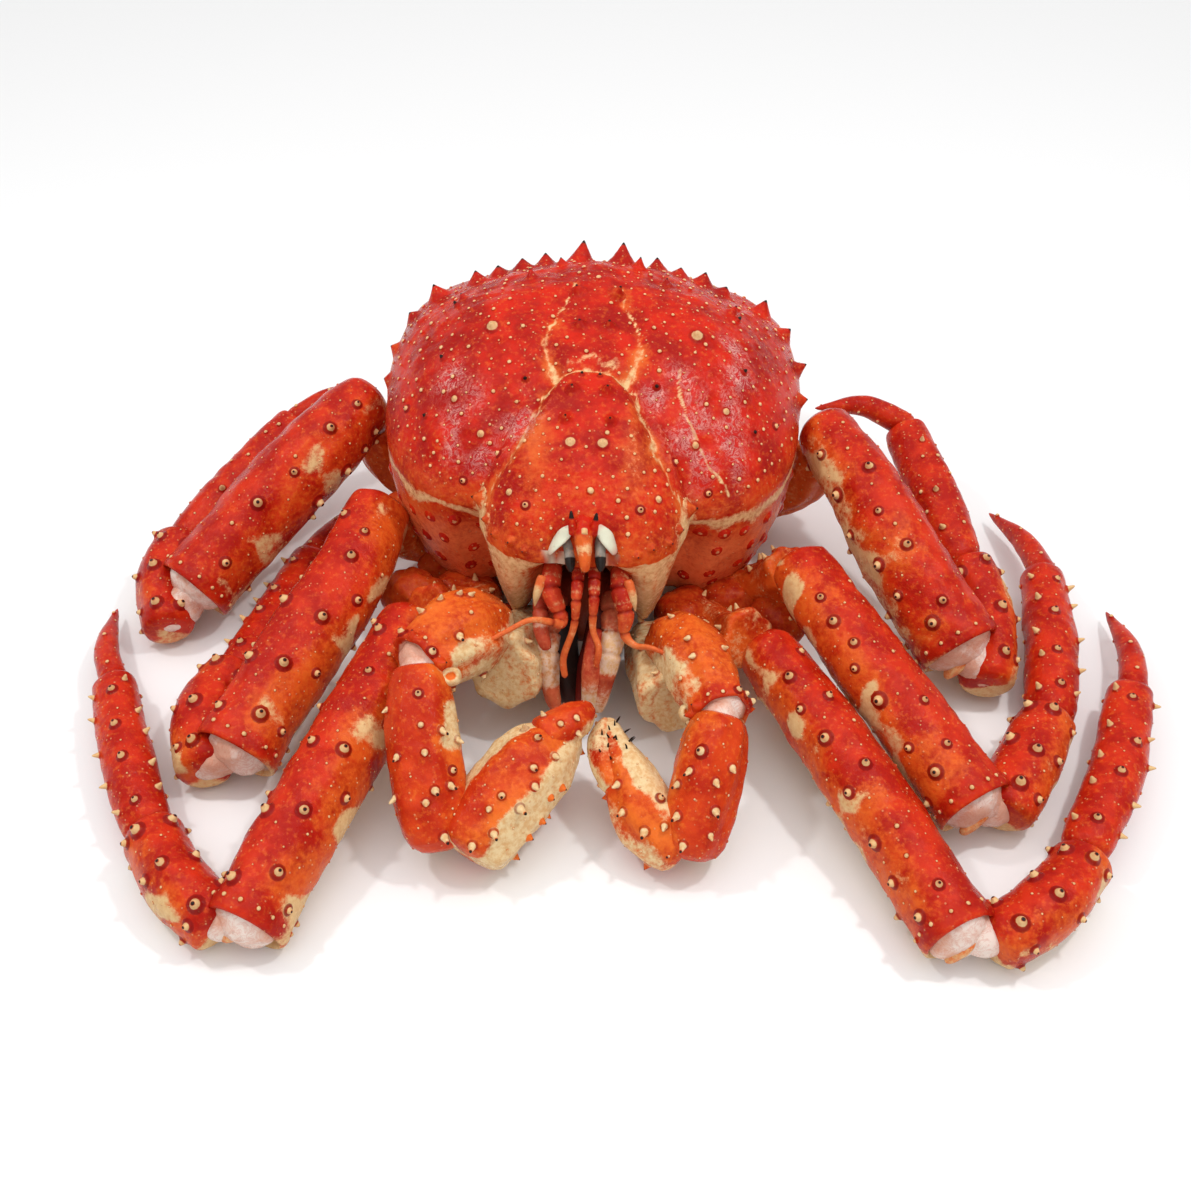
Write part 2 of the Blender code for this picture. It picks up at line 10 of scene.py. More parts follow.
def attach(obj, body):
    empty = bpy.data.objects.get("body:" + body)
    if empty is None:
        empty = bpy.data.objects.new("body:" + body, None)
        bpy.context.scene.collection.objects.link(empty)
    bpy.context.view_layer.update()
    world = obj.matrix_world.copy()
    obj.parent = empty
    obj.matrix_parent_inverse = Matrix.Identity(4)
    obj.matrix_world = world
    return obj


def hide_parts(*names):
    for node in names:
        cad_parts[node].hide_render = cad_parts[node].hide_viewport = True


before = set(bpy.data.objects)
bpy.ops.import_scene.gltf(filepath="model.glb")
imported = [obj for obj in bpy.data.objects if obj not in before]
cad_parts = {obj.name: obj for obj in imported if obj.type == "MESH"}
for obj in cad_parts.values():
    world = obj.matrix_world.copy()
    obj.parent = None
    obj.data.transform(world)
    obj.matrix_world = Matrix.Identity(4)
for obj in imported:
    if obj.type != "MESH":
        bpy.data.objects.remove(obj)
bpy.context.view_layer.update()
bpy.ops.object.select_all(action="DESELECT")

# ==== Carapace ====
# The crab's upper shell is one thin, hard, lime-stiffened dome with side walls, cheeks and a rostrum.
# Boiling turned it deep vermilion, with cream seams between its plates and orange towards the edges.
# Its thorns and beads grow out of the shell itself, so they are welded to it here as well.
MM = 0.001
MIDDLE = (9.4, -65.5)            # floor point under the middle of the whole crab
SHELL_AT = (-1.0, 16.0, 88.0)    # where the middle of the shell's margin stands over the floor
SHELL_SCALE = 1.03
SHELL_YAW, SHELL_ROLL = math.radians(-2.8), math.radians(1.5)
WALL = 56.0                      # height of the side walls
# the margin of the shell seen from above, in millimetres, from the front round one side to the rear
HALF_EDGE = [(0, -106), (9, -105), (20, -104), (31, -100), (39, -92), (43, -83), (44.5, -72), (60, -67),
             (73, -59), (85.5, -42), (94, -4), (94, 26), (87, 54), (73, 71), (52, 81), (28, 85), (0, 84)]
half = np.array(HALF_EDGE, float)
loop = np.concatenate([half, half[::-1][1:-1] * [-1, 1]])
turn = np.arctan2(loop[:, 1], loop[:, 0])
loop, turn = loop[np.argsort(turn)], np.sort(turn)
TURN = np.concatenate([turn - 2 * np.pi, turn, turn + 2 * np.pi])
REACH = np.tile(np.hypot(loop[:, 0], loop[:, 1]), 3)


def on_body(x, y, h):
    """A point of the shell's own frame, in millimetres, as millimetres over the floor."""
    x, y, h = (np.asarray(v, float) for v in (x, y, h))
    x, h = (x * math.cos(SHELL_ROLL) + h * math.sin(SHELL_ROLL),
            h * math.cos(SHELL_ROLL) - x * math.sin(SHELL_ROLL))
    x, y = (x * math.cos(SHELL_YAW) - y * math.sin(SHELL_YAW),
            x * math.sin(SHELL_YAW) + y * math.cos(SHELL_YAW))
    spot = np.stack(np.broadcast_arrays(x, y, h), -1)
    return SHELL_SCALE * spot + SHELL_AT


def margin(angle):
    """How far the margin reaches that way from its middle."""
    return np.interp(angle, TURN, REACH)


def margin_height(y):
    """How high the margin stands over its mean plane: it rises to the rear."""
    return np.interp(y, [-105, -95, -84, -65, -40, -2, 30, 54, 70, 84],
                     [-7.5, -8, -8.5, -9, -10, -6, 1, 6, 9, 12])


def swell(x, y, cx, cy, wide, long):
    """A round hump: 1 at its middle, and low past its half width and half length."""
    return np.exp(-((x - cx) / wide) ** 2 - ((y - cy) / long) ** 2)


def bell(value, wide):
    """1 at nought, fading out past that half width."""
    return np.exp(-(value / wide) ** 2)


def band(value, wide):
    """1 round nought, falling off steeply past that half width."""
    return np.exp(-(value / wide) ** 4)


def smooth(value, low, high):
    """0 to 1, smoothly, as the value goes from low to high."""
    t = np.clip((value - low) / (high - low), 0, 1)
    return t * t * (3 - 2 * t)


# the broad lobes of the upper face, in pairs where they stand off the middle:
# (rise, across, along, half width, half length) in millimetres
LOBES = [(4.5, 55, 8, 34, 46), (1.5, 0, -48, 30, 30), (3.0, 0, 32, 14, 22), (6.0, 0, 58, 30, 36),
         (-8.0, 66, 56, 24, 32)]


def dome(x, y):
    """Height of the shell's upper face over its margin plane."""
    share = np.minimum(np.hypot(x, y) / margin(np.arctan2(y, x)), 1.0)
    outer = np.interp(y, [-105, 0, 70], [2.7, 2.6, 2.1])
    inner = np.interp(y, [-105, 0, 70], [0.571, 0.60, 0.78])
    arch = (1 - share ** outer) ** inner
    crown = np.interp(y, [-105, -60, -20, 20, 60, 84], [31, 36, 42, 44, 41, 36])
    height = margin_height(y) * share ** 2 + crown * arch
    for rise, cx, cy, wide, long in LOBES:
        height = height + arch * rise * swell(np.abs(x), y, cx, cy, wide, long)
    # the stomach lobe at the front stands proud, with a groove round it and a neck behind it
    side = np.interp(y, [-82, -73, -64, -55, -47, -38], [42, 33, 27, 23, 19, 13])
    front_lobe = 1 / (1 + np.exp((np.abs(x) - side) / 1.8)) / (1 + np.exp((y + 36) / 2.0))
    groove = bell(np.abs(x) - side - 2, 4.0) * bell(y + 56, 26)
    neck = bell(y + 33 + 0.02 * x * x, 4.0) * band(x, 24)
    return height + arch * (3.0 * front_lobe - 3.0 * groove - 2.2 * neck)


def waves(points, size, seed):
    """A smooth random field in about -1..1 with bumps of that size, in the points' own unit."""
    field, dice = np.zeros(len(points)), np.random.default_rng(seed)
    for _ in range(9):
        way = dice.normal(size=3)
        way *= 2 * np.pi / (size * dice.uniform(1.4, 2.6) * np.linalg.norm(way))
        field += np.sin(points @ way + dice.uniform(0, 6.3))
    return field / 3.6


def line_distance(x, y, line):
    """Distance in the plane from each point to a broken line."""
    near = np.full(len(x), 1e9)
    for (ax, ay), (bx, by) in zip(line, line[1:]):
        dx, dy = bx - ax, by - ay
        t = np.clip(((x - ax) * dx + (y - ay) * dy) / (dx * dx + dy * dy), 0, 1)
        near = np.minimum(near, np.hypot(x - ax - t * dx, y - ay - t * dy))
    return near


PAINTS = ("warm", "pale", "tan", "ring", "dark", "flesh", "bloom", "milk")


def bare(count, **given):
    """The paint of that many points: zero but for what is given."""
    paint = {name: np.zeros(count) for name in PAINTS}
    for name, value in given.items():
        paint[name] = np.broadcast_to(np.asarray(value, float), count).copy()
    return paint


def to_frame(points):
    """Millimetres over the floor as metres in the part's frame, and nothing under the floor."""
    points = np.array(points, float)
    points[:, 2] = np.maximum(points[:, 2], 0.0)
    return (points - [MIDDLE[0], MIDDLE[1], 0]) * MM


def taken_mesh(obj):
    """A primitive's points and faces as arrays, with the primitive removed again."""
    mesh = obj.data
    points = np.empty(len(mesh.vertices) * 3)
    mesh.vertices.foreach_get("co", points)
    faces = [tuple(p.vertices) for p in mesh.polygons]
    bpy.data.objects.remove(obj)
    bpy.data.meshes.remove(mesh)
    return points.reshape(-1, 3), faces


def normals_of(points, faces):
    """The surface's outward direction at each of its points."""
    mesh = bpy.data.meshes.new("probe")
    mesh.from_pydata(points.tolist(), [], faces)
    flat = np.empty(len(points) * 3)
    mesh.vertex_normals.foreach_get("vector", flat)
    bpy.data.meshes.remove(mesh)
    return flat.reshape(-1, 3)


# how each growth is turned: its outline as (radius share, height share), then the ring, pale and dark
# paint at each level of that outline, and the number of its sides
CONE_FOOT = [(2.2, -.1), (1.9, 0.0), (1.5, .06), (1.2, .14), (.98, .27), (.84, .43), (.7, .6)]
GROWTHS = {
    "thorn": ([(2.1, -.1), (1.85, 0.0), (1.5, .06), (1.22, .15), (1.0, .27), (.8, .41), (.6, .56), (.42, .7),
               (.25, .84), (.11, .95)],
              [0, 0, .1, .2, .25, .25, .2, .2, .1, 0], [0] * 10, [0] * 7 + [.1, .5, 1], 10),
    "prick": ([(2.1, -.1), (1.8, 0.0), (1.4, .08), (1.1, .2), (.85, .36), (.66, .55), (.46, .76),
               (.22, .93)],
              [0, .2, .5, .6, .3, .1, 0, 0], [0] * 8, [0, 0, 0, .1, .35, .7, 1, 1], 8),
    "peg": ([(2.3, -.1), (2.0, 0.0), (1.65, .05), (1.3, .12), (1.02, .25), (.86, .42), (.74, .6), (.6, .77),
             (.42, .9), (.22, .98)],
            [0, .35, .9, 1, .7] + [0] * 5, [0, 0, 0, 0, .2, 1, 1, 1, .5, 0], [0] * 8 + [.3, 1], 10),
    "cone": (CONE_FOOT + [(.54, .76), (.36, .9), (.18, .98)],
             [0, .3, .6, .5, .1] + [0] * 5, [0, 0, 0, .4, .9, 1, 1, 1, 1, .8], [0] * 8 + [.05, .4], 10),
    "inked": (CONE_FOOT + [(.56, .76), (.4, .9), (.22, .98)],
              [0, .3, .7, .6, .1] + [0] * 5, [0, 0, 0, .3, .9, 1, 1, .7, .1, 0], [0] * 7 + [.1, .7, 1], 10),
    "bead": ([(1.7, -.15), (1.45, .05), (1.05, .4), (.8, .72), (.45, .93)],
             [0, .35, .45, .1, 0], [0, 0, .35, 1, 1], [0] * 5, 7),
    "disc": ([(2.6, -.1), (2.3, .05), (1.75, .4), (1.2, .7), (.8, .85), (.45, 1.0)],
             [0, 0, .12, .12, 0, 0], [0, 0, 0, 0, .35, .62], [0] * 6, 9)}


def clay(points, faces, paint):
    """A piece being built: all its points in metres, its faces and its paint."""
    return {"points": np.array(points), "faces": list(faces),
            "paint": {name: np.array(values) for name, values in paint.items()}}


def add_to(piece, points, faces, paint):
    """More points, faces and paint joined to a piece."""
    first = len(piece["points"])
    piece["points"] = np.vstack([piece["points"], points])
    piece["faces"] += [tuple(first + i for i in face) for face in faces]
    for name in PAINTS:
        piece["paint"][name] = np.concatenate([piece["paint"][name], paint[name]])


def grow(piece, growths, dice):
    """Thorns, pegs and beads on a shell: (point index, kind, radius and height in mm, lean)."""
    points, faces = piece["points"], piece["faces"]
    normals = normals_of(points, faces)
    for spot, kind, radius, _, _ in growths:
        if kind != "bead":
            # the shell swells a little round the foot
            away = np.linalg.norm(points - points[spot], axis=1) / (radius * MM)
            close = away < 5
            swelling = 0.13 * radius * MM * bell(away[close], 2.1)
            points[close] += normals[close] * swelling[:, None]
    tree = BVHTree.FromPolygons(points.tolist(), faces)
    new_points, new_faces, new_paint, first = [], [], {name: [] for name in PAINTS}, 0
    for spot, kind, radius, height, lean in growths:
        outline, ring, pale, dark, sides = GROWTHS[kind]
        under = {name: piece["paint"][name][spot] for name in PAINTS}
        foot, out = points[spot], normals[spot]
        axis = out + lean
        axis = axis / np.linalg.norm(axis)
        side = np.cross(out, [0.31, 0.77, 0.56])
        side /= np.linalg.norm(side)
        third = np.cross(out, side)
        spin = dice.uniform(0, 6.3)
        for level, (wide, high) in enumerate(outline):
            for k in range(sides):
                a = spin + 2 * np.pi * (k + 0.5 * (level % 2)) / sides
                flat = foot + (side * math.cos(a) + third * math.sin(a)) * wide * radius * MM
                at = flat + axis * high * height * MM
                if wide > 0.9 or level < 3:
                    # the skirt of the growth follows the curve of the shell
                    where, way, _, _ = tree.find_nearest(Vector(flat))
                    on_shell = np.array(where) + np.array(way) * high * height * MM
                    at = 0.5 * (on_shell + at) if wide < 1.25 else on_shell
                new_points.append(at)
            if level:
                below = first + (level - 1) * sides
                for k in range(sides):
                    a, b = below + k, below + (k + 1) % sides
                    if level % 2:
                        new_faces += [(a, b, a + sides), (b, b + sides, a + sides)]
                    else:
                        new_faces += [(a, b + sides, a + sides), (a, b, b + sides)]
            keep = max(0.0, 1 - 2 * high) if level < 4 else 0.0
            here = dict.fromkeys(PAINTS, 0.0)
            here.update(ring=ring[level], dark=dark[level], warm=under["warm"], tan=keep * under["tan"],
                        pale=max(pale[level], keep * under["pale"]))
            if kind == "disc":
                here.update(warm=0.1, tan=0.0)
            for name, value in here.items():
                new_paint[name] += [value] * sides
        new_points += [foot + axis * height * MM, foot - out * 0.3 * height * MM]
        for values in new_paint.values():
            values += [values[-1], values[first]]
        top = first + len(outline) * sides
        last, bottom = top - sides, top + 1
        new_faces += [(last + k, last + (k + 1) % sides, top) for k in range(sides)]
        new_faces += [(first + (k + 1) % sides, first + k, bottom) for k in range(sides)]
        first = bottom + 1
    if first:
        add_to(piece, np.array(new_points), new_faces, {k: np.array(v) for k, v in new_paint.items()})


def show(piece, node, finish):
    """The built piece as an object that stands for its CAD node."""
    mesh = bpy.data.meshes.new("cooked_" + node)
    mesh.from_pydata(piece["points"].tolist(), [], piece["faces"])
    for name in PAINTS:
        layer = mesh.attributes.new(name, "FLOAT", "POINT")
        layer.data.foreach_set("value", piece["paint"][name].astype(np.float32))
    mesh.polygons.foreach_set("use_smooth", np.ones(len(mesh.polygons), bool))
    mesh.materials.append(finish)
    mesh.update()
    obj = bpy.data.objects.new("cooked_" + node, mesh)
    bpy.context.scene.collection.objects.link(obj)
    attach(obj, "root")
    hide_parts(node)


def plug(socket, value):
    """Another socket linked into this one, or a number or colour set on it."""
    if isinstance(value, bpy.types.NodeSocket):
        socket.id_data.links.new(value, socket)
    elif value is not None:
        socket.default_value = (*value, 1) if isinstance(value, tuple) else value


def maths(kind, a, b=None, clamp=False):
    """What a maths node makes of a socket and a number or second socket, in the first one's tree."""
    node = a.id_data.nodes.new("ShaderNodeMath")
    node.operation, node.use_clamp = kind, clamp
    plug(node.inputs[0], a)
    plug(node.inputs[1], b)
    return node.outputs[0]


def plus(a, b, clamp=False):
    return maths("ADD", a, b, clamp)


def minus(a, b):
    return maths("SUBTRACT", a, b)


def times(a, b, clamp=False):
    return maths("MULTIPLY", a, b, clamp)


def ease(value, low, high, top=1.0):
    """0 to the top, smoothly, as the value goes from low to high."""
    node = value.id_data.nodes.new("ShaderNodeMapRange")
    node.interpolation_type = "SMOOTHSTEP"
    for k, v in enumerate((value, low, high, 0.0, top)):
        plug(node.inputs[k], v)
    return node.outputs[0]


def blend(share, a, b):
    """Colour a with that share of colour b over it."""
    node = share.id_data.nodes.new("ShaderNodeMix")
    node.data_type = "RGBA"
    plug(node.inputs[0], share)
    plug(node.inputs[6], a)
    plug(node.inputs[7], b)
    return node.outputs[2]


def noise(tree, scale, detail, rough=0.55, twist=0.0):
    node = tree.nodes.new("ShaderNodeTexNoise")
    where = tree.nodes.new("ShaderNodeTexCoord").outputs["Object"]
    for label, value in (("Vector", where), ("Scale", scale), ("Detail", detail), ("Roughness", rough),
                         ("Distortion", twist)):
        plug(node.inputs[label], value)
    return node.outputs[0]


def painted(tree, name):
    node = tree.nodes.new("ShaderNodeAttribute")
    node.attribute_name = name
    return node.outputs["Fac"]


# the boiled shell's skin as a node group, with the colours that differ from piece to piece as its inputs
skin = bpy.data.node_groups.new("cooked_skin", "ShaderNodeTree")
for label, value in (("Deep", (0.40, 0.008, 0.004, 1)), ("Bright", (0.62, 0.028, 0.008, 1)),
                     ("Orange", (0.74, 0.13, 0.02, 1)), ("Cream", (0.72, 0.47, 0.22, 1)), ("Blotch", 55.0)):
    kind = "NodeSocketColor" if isinstance(value, tuple) else "NodeSocketFloat"
    skin.interface.new_socket(label, in_out="INPUT", socket_type=kind).default_value = value
for label, kind in (("Colour", "NodeSocketColor"), ("Roughness", "NodeSocketFloat"),
                    ("Height", "NodeSocketFloat")):
    skin.interface.new_socket(label, in_out="OUTPUT", socket_type=kind)
got, out = skin.nodes.new("NodeGroupInput").outputs, skin.nodes.new("NodeGroupOutput").inputs
# its mottling: soft blotches, freckles, fine grain, thin veins and scattered pale specks
blotches, freckles = noise(skin, got["Blotch"], 4, 0.6), noise(skin, 420.0, 5, 0.65)
grain, tangle = noise(skin, 1900.0, 2), noise(skin, 170.0, 6, 0.7, 1.6)
veins = ease(maths("ABSOLUTE", minus(tangle, 0.5)), 0.055, 0.0)
cells = skin.nodes.new("ShaderNodeTexVoronoi")
plug(cells.inputs["Vector"], skin.nodes.new("ShaderNodeTexCoord").outputs["Object"])
plug(cells.inputs["Scale"], 430.0)
pick = skin.nodes.new("ShaderNodeSeparateColor")
plug(pick.inputs[0], cells.outputs["Color"])
specks = times(ease(cells.outputs["Distance"], 0.24, 0.12), ease(pick.outputs[0], 0.55, 0.6))
# its colour from the paint: red to orange to cream, dark-footed thorns, painted shade in dark red and black,
# pink patches with painted white glints, and flesh
WALL_TAN, FOOT_RED_AND_SHADE, TIP_BLACK_AND_SHADE = (0.92, 0.23, 0.08), (0.22, 0.004, 0.003), (0.018, 0.012, 0.010)
DULL_CREAM, SPECK_CREAM, MILK_WHITE = (0.66, 0.38, 0.16), (0.80, 0.36, 0.16), (0.72, 0.72, 0.55)
# the pink of the patches, and the white of the highlights painted over them
GLINT_PATCH_PINK, GLINT_WHITE = (0.70, 0.05, 0.07), (0.90, 0.50, 0.44)
MEAT_TAN, MEAT_WHITE, MEAT_VEIN = (0.70, 0.38, 0.27), (0.82, 0.68, 0.60), (0.62, 0.20, 0.12)
paint = {name: painted(skin, name) for name in PAINTS}
off = minus(freckles, 0.5)
colour = blend(ease(blotches, 0.36, 0.64), got["Deep"], got["Bright"])
colour = blend(ease(freckles, 0.5, 0.72, 0.5), colour, got["Orange"])
warmth = plus(paint["warm"], times(off, 1.1))
warmth = plus(warmth, times(minus(blotches, 0.5), 0.8))
colour = blend(ease(warmth, 0.1, 0.95), colour, got["Orange"])
tanned = plus(times(paint["tan"], ease(freckles, 0.3, 0.6, 0.4)), times(paint["tan"], 0.6), True)
colour = blend(tanned, colour, WALL_TAN)
paleness = plus(paint["pale"], times(off, 0.9))
paleness = ease(plus(paleness, times(minus(grain, 0.5), 0.3)), 0.3, 0.8)
colour = blend(paleness, colour, blend(ease(freckles, 0.34, 0.6), DULL_CREAM, got["Cream"]))
colour = blend(times(specks, 0.55), colour, SPECK_CREAM)
colour = blend(times(paint["bloom"], 0.35), colour, GLINT_PATCH_PINK)
# painted highlights: white glints and glinting veins laid over the pink patches
painted_glints = times(paint["bloom"], plus(veins, ease(freckles, 0.55, 0.63)), True)
colour = blend(times(painted_glints, 0.75), colour, GLINT_WHITE)
# dark red of thorn feet, joint lines and streaks, and painted shade in the eye sockets, under the shell's
# wall and in the mouth
colour = blend(ease(paint["ring"], 0.1, 1.0, 0.9), colour, FOOT_RED_AND_SHADE)
meat = blend(ease(blotches, 0.4, 0.62), MEAT_TAN, MEAT_WHITE)
meat = blend(ease(veins, 0.2, 1.0, 0.4), meat, MEAT_VEIN)
colour = blend(paint["flesh"], colour, meat)
colour = blend(paint["milk"], colour, MILK_WHITE)
# black of thorn tips and eyes, and painted shade on the jaws behind the mouth legs
plug(out["Colour"], blend(ease(paint["dark"], 0.25, 0.75), colour, TIP_BLACK_AND_SHADE))
plug(out["Roughness"], plus(plus(times(freckles, 0.24), 0.05), times(paleness, 0.08)))
relief = plus(plus(times(freckles, 0.8), times(grain, 0.25)), times(specks, 0.7))
plug(out["Height"], minus(relief, times(times(veins, 0.5), paint["bloom"])))


def shell_finish(name, bump=0.6, coat=0.0, **values):
    """A boiled-shell material: the shared skin with this piece's own colours."""
    finish = bpy.data.materials.new(name)
    finish.use_nodes = True
    tree = finish.node_tree
    shader = tree.nodes["Principled BSDF"]
    colours = tree.nodes.new("ShaderNodeGroup")
    colours.node_tree = skin
    for label, value in values.items():
        plug(colours.inputs[label], value)
    lumps = tree.nodes.new("ShaderNodeBump")
    for node, label, value in (
            (lumps, "Strength", bump), (lumps, "Distance", 0.0009),
            (lumps, "Height", colours.outputs["Height"]), (shader, "Normal", lumps.outputs[0]),
            (shader, "Base Color", colours.outputs["Colour"]), (shader, "Specular IOR Level", 0.11),
            (shader, "Roughness", colours.outputs["Roughness"]), (shader, "Coat Weight", coat),
            (shader, "Coat Roughness", 0.07)):
        plug(node.inputs[label], value)
    return finish


# a cube cut into a fine grid and blown up into the shell, so that no seam or pole shows
bpy.ops.mesh.primitive_cube_add(size=2)
bpy.ops.object.mode_set(mode="EDIT")
bpy.ops.mesh.select_all(action="SELECT")
for _ in range(2):
    bpy.ops.mesh.subdivide(number_cuts=9)
bpy.ops.object.mode_set(mode="OBJECT")
unit, faces = taken_mesh(bpy.context.active_object)
unit = np.tan(unit * np.pi / 4)
unit /= np.linalg.norm(unit, axis=1)[:, None]
angle = np.arctan2(unit[:, 1], unit[:, 0])
tilt = np.arcsin(np.clip(unit[:, 2], -1, 1)) / (np.pi / 2)
TOP_FROM = -0.34                 # the grid above this tilt is the upper face
WALL_TO = 0.62                   # of what is left, the share that is side wall; the rest closes the shell
tilt = np.where(tilt > TOP_FROM, (tilt - TOP_FROM) / (1 - TOP_FROM), (tilt - TOP_FROM) / (1 + TOP_FROM))
edge = margin(angle)
share = np.where(tilt >= 0, np.cos(tilt * np.pi / 2) ** 0.9, 1.0)
down, close = np.clip(-tilt / WALL_TO, 0, 1), np.clip((-tilt - WALL_TO) / (1 - WALL_TO), 0, 1)
mx, my = edge * np.cos(angle), edge * np.sin(angle)
# the mouth's gap, the cheeks beside it, the notches beyond them and the rear, along the margin
front = band(mx, 21) * (my < 0)
cheek = band(np.abs(mx) - 31, 12) * (my < -60)
beside = band(np.abs(mx) - 48, 7) * (my < -60)
rear = np.clip((my - 40) / 40, 0, 1)
depth = WALL * (1 - 0.2 * cheek - 0.52 * front * (1 - cheek) - 0.25 * rear)
inward = 12 * down ** 2.2 + (15 * front + 8 * beside) * np.minimum(3 * down, 1) + 8 * rear * down
x, y = ((edge * share - inward) * (1 - close) * way(angle) for way in (np.cos, np.sin))
# the cheeks are drawn in to narrow flaps at their lower end
flap = band(np.abs(mx) - 30, 16) * (my < -60)
x = x + 0.62 * flap * down * (1 - close) * (30 * np.sign(mx) - x)
under = margin_height(my) * (1 - close) ** 2 - depth * down * (1 - close) - WALL * close * 0.92
upper_face = tilt >= 0
h = np.where(upper_face, dome(x, y), under)

# grooves between the shell's plates, on one half; the other half mirrors them:
# (line, width in mm, how cream, how deep)
SEAMS = [([(20.5, -21), (18.5, -10), (15.5, 0), (9.5, 17)], 1.0, 0.9, 0.6),
         ([(14.3, -38), (17, -32), (19.8, -26), (20.5, -21)], 1.2, 0.8, 0.8),
         ([(14.5, -37.5), (16, -35)], 2.4, 0.9, 0.2),
         ([(0, -33.3), (6, -34.3), (12, -37), (16.5, -43), (19.4, -47)], 1.2, 0.9, 0.6),
         ([(19.4, -47), (23, -55), (27.5, -64), (33, -73), (41, -79)], 1.3, 0.72, 0.6),
         ([(0, -26.5), (5, -29.5), (10, -31)], 1.6, 0.66, 0.2)]
GROOVE, GOLD = 2.6, 6.0          # half widths of each groove and of the orange band along it
spots = np.stack([x, y, h], -1)
wander = 1.2 * waves(spots, 6, 40) + 0.6 * waves(spots, 2.6, 48)
seam, sunk, gold = np.zeros((3, len(x)))
for line, wide, cream, deep in SEAMS:
    away = line_distance(np.abs(x) + wander, y + wander, line)
    seam = np.maximum(seam, cream * bell(away, wide))
    sunk = np.maximum(sunk, deep * bell(away, GROOVE))
    gold = np.maximum(gold, deep * bell(away, GOLD))
seam *= 0.7 + 0.3 * smooth(waves(spots, 5, 41), -0.9, 0.3)
lumps = 0.6 * waves(spots, 13, 1) + 0.38 * waves(spots, 5.5, 2) + 0.17 * waves(spots, 2.6, 3)
h = h + np.where(upper_face, np.clip((1 - share) * 8, 0, 1) * (lumps - 1.2 * sunk), 0)
# an eye socket is bitten out of the front edge on each side of the rostrum
socket = (band(mx + 8.0, 4.6) + band(mx - 10.2, 4.6)) * (my < -90)
socket *= np.where(upper_face, smooth(share, 0.9, 1.0), 1.0)
y = y + 5 * socket * (1 - close)
h = h - 4 * socket * np.clip(1 - 3 * down, 0, 1)
wall = np.clip(down * 6, 0, 1) * (1 - close)
x = x + np.cos(angle) * (0.5 * lumps * wall)
y = y + np.sin(angle) * (0.5 * lumps * wall)
points = to_frame(on_body(x, y, h))

# orange towards the front, along the margin and the grooves, and on the side walls
edge_near = bell(1 - share, 0.05) * upper_face
flank = swell(np.abs(x), y, 20, -70, 6, 17) * upper_face
warm = np.where(upper_face, 0.04 + 0.22 * smooth(-y, 30, 95) + 0.3 * edge_near,
                0.42 + 0.35 * smooth(down, 0.2, 1))
warm += 0.5 * np.maximum(0, seam - 0.1) + 0.35 * np.minimum(sunk, 1) * upper_face
warm += 0.4 * flank + 0.4 * cheek * (down > 0)
warm += 0.55 * gold * upper_face * smooth(waves(spots, 12, 49), -0.8, 0.6)
# cream in the seams, in a line under the margin, at its front corners and on the streaked cheeks
ragged = waves(np.stack([mx, my, 0 * mx], -1), 9, 47)
margin_line = bell(down - 0.07 - 0.03 * ragged, 0.066 + 0.03 * ragged) * smooth(-my, -30, 20)
patch = smooth(waves(spots, 16, 42), -0.3, 0.9)
streak = 0.5 + 0.5 * np.sin(mx * 1.5 + 2.5 * waves(spots, 14, 45))
wall_cream = 0.04 + 0.24 * patch * smooth(down, 0.2, 0.9) + (0.6 + 0.2 * streak) * cheek
pale = np.where(upper_face, seam + 0.42 * flank * patch, np.maximum(0.78 * margin_line, wall_cream))
corner = bell(np.abs(mx) - 43, 4) * (my < -68)
pale = np.maximum(pale, corner * np.where(upper_face, edge_near, bell(down, 0.25)))
# one cream crack, and pink patches strewn with painted white glints: (across, along, size)
CRACK = [(36.6, -28.9), (37.8, -38.8), (42, -47.4), (46, -54), (52, -60), (60, -64)]
pale = np.maximum(pale, 0.9 * bell(line_distance(x + wander * 0.6, y, CRACK), 0.8) * upper_face)
PINK_GLINT_PATCHES = [(46, -52, 9), (55, -41, 8), (37, -36, 6), (58, -52, 6), (63, -22, 5), (27, -40, 5), (-60, -30, 5),
          (-53, -43, 6), (-45, -57, 6), (-34, -46, 5), (-28, -56, 6), (-56, -54, 6), (60, -8, 5)]
# pink patches whose mask also carries the painted white glints
bloom = np.zeros(len(x))
for bx, by, size in PINK_GLINT_PATCHES:
    bloom = np.maximum(bloom, bell(np.hypot(x - bx, y - by), 1.2 * size))
bloom *= upper_face * smooth(waves(spots, 9, 43), -0.9, 0.2)
# the shell's edge over each eye socket is milky: (line, half width)
SOCKET_EDGES = [([(-6, -99), (-9.5, -101.5), (-14, -102)], 1.6),
                ([(7.5, -98.5), (11, -101.5), (13.5, -102)], 1.4)]
milk = np.zeros(len(x))
for line, wide in SOCKET_EDGES:
    near = smooth(-line_distance(x, y, line) - 0.4 * waves(spots, 4, 46), -1.5 * wide, 0)
    milk = np.maximum(milk, 0.8 * near * (h > -14) * np.where(upper_face, share > 0.985, 1))
tan = np.where(upper_face, 0, 0.85 * smooth(down, 0.1, 0.4) * (0.7 + 0.3 * patch) * smooth(-my, -70, -10))
# painted shade: dark red inside the hollow of each eye socket; the cheeks' thin red streaks are their own
# colour
ring = np.maximum(0.9 * socket * (down > 0.1) * (down < 0.6), 0.16 * cheek * wall * (1 - streak) ** 2)
shell = clay(points, faces, bare(len(x), warm=warm, pale=pale, tan=tan, bloom=bloom, milk=milk, ring=ring))

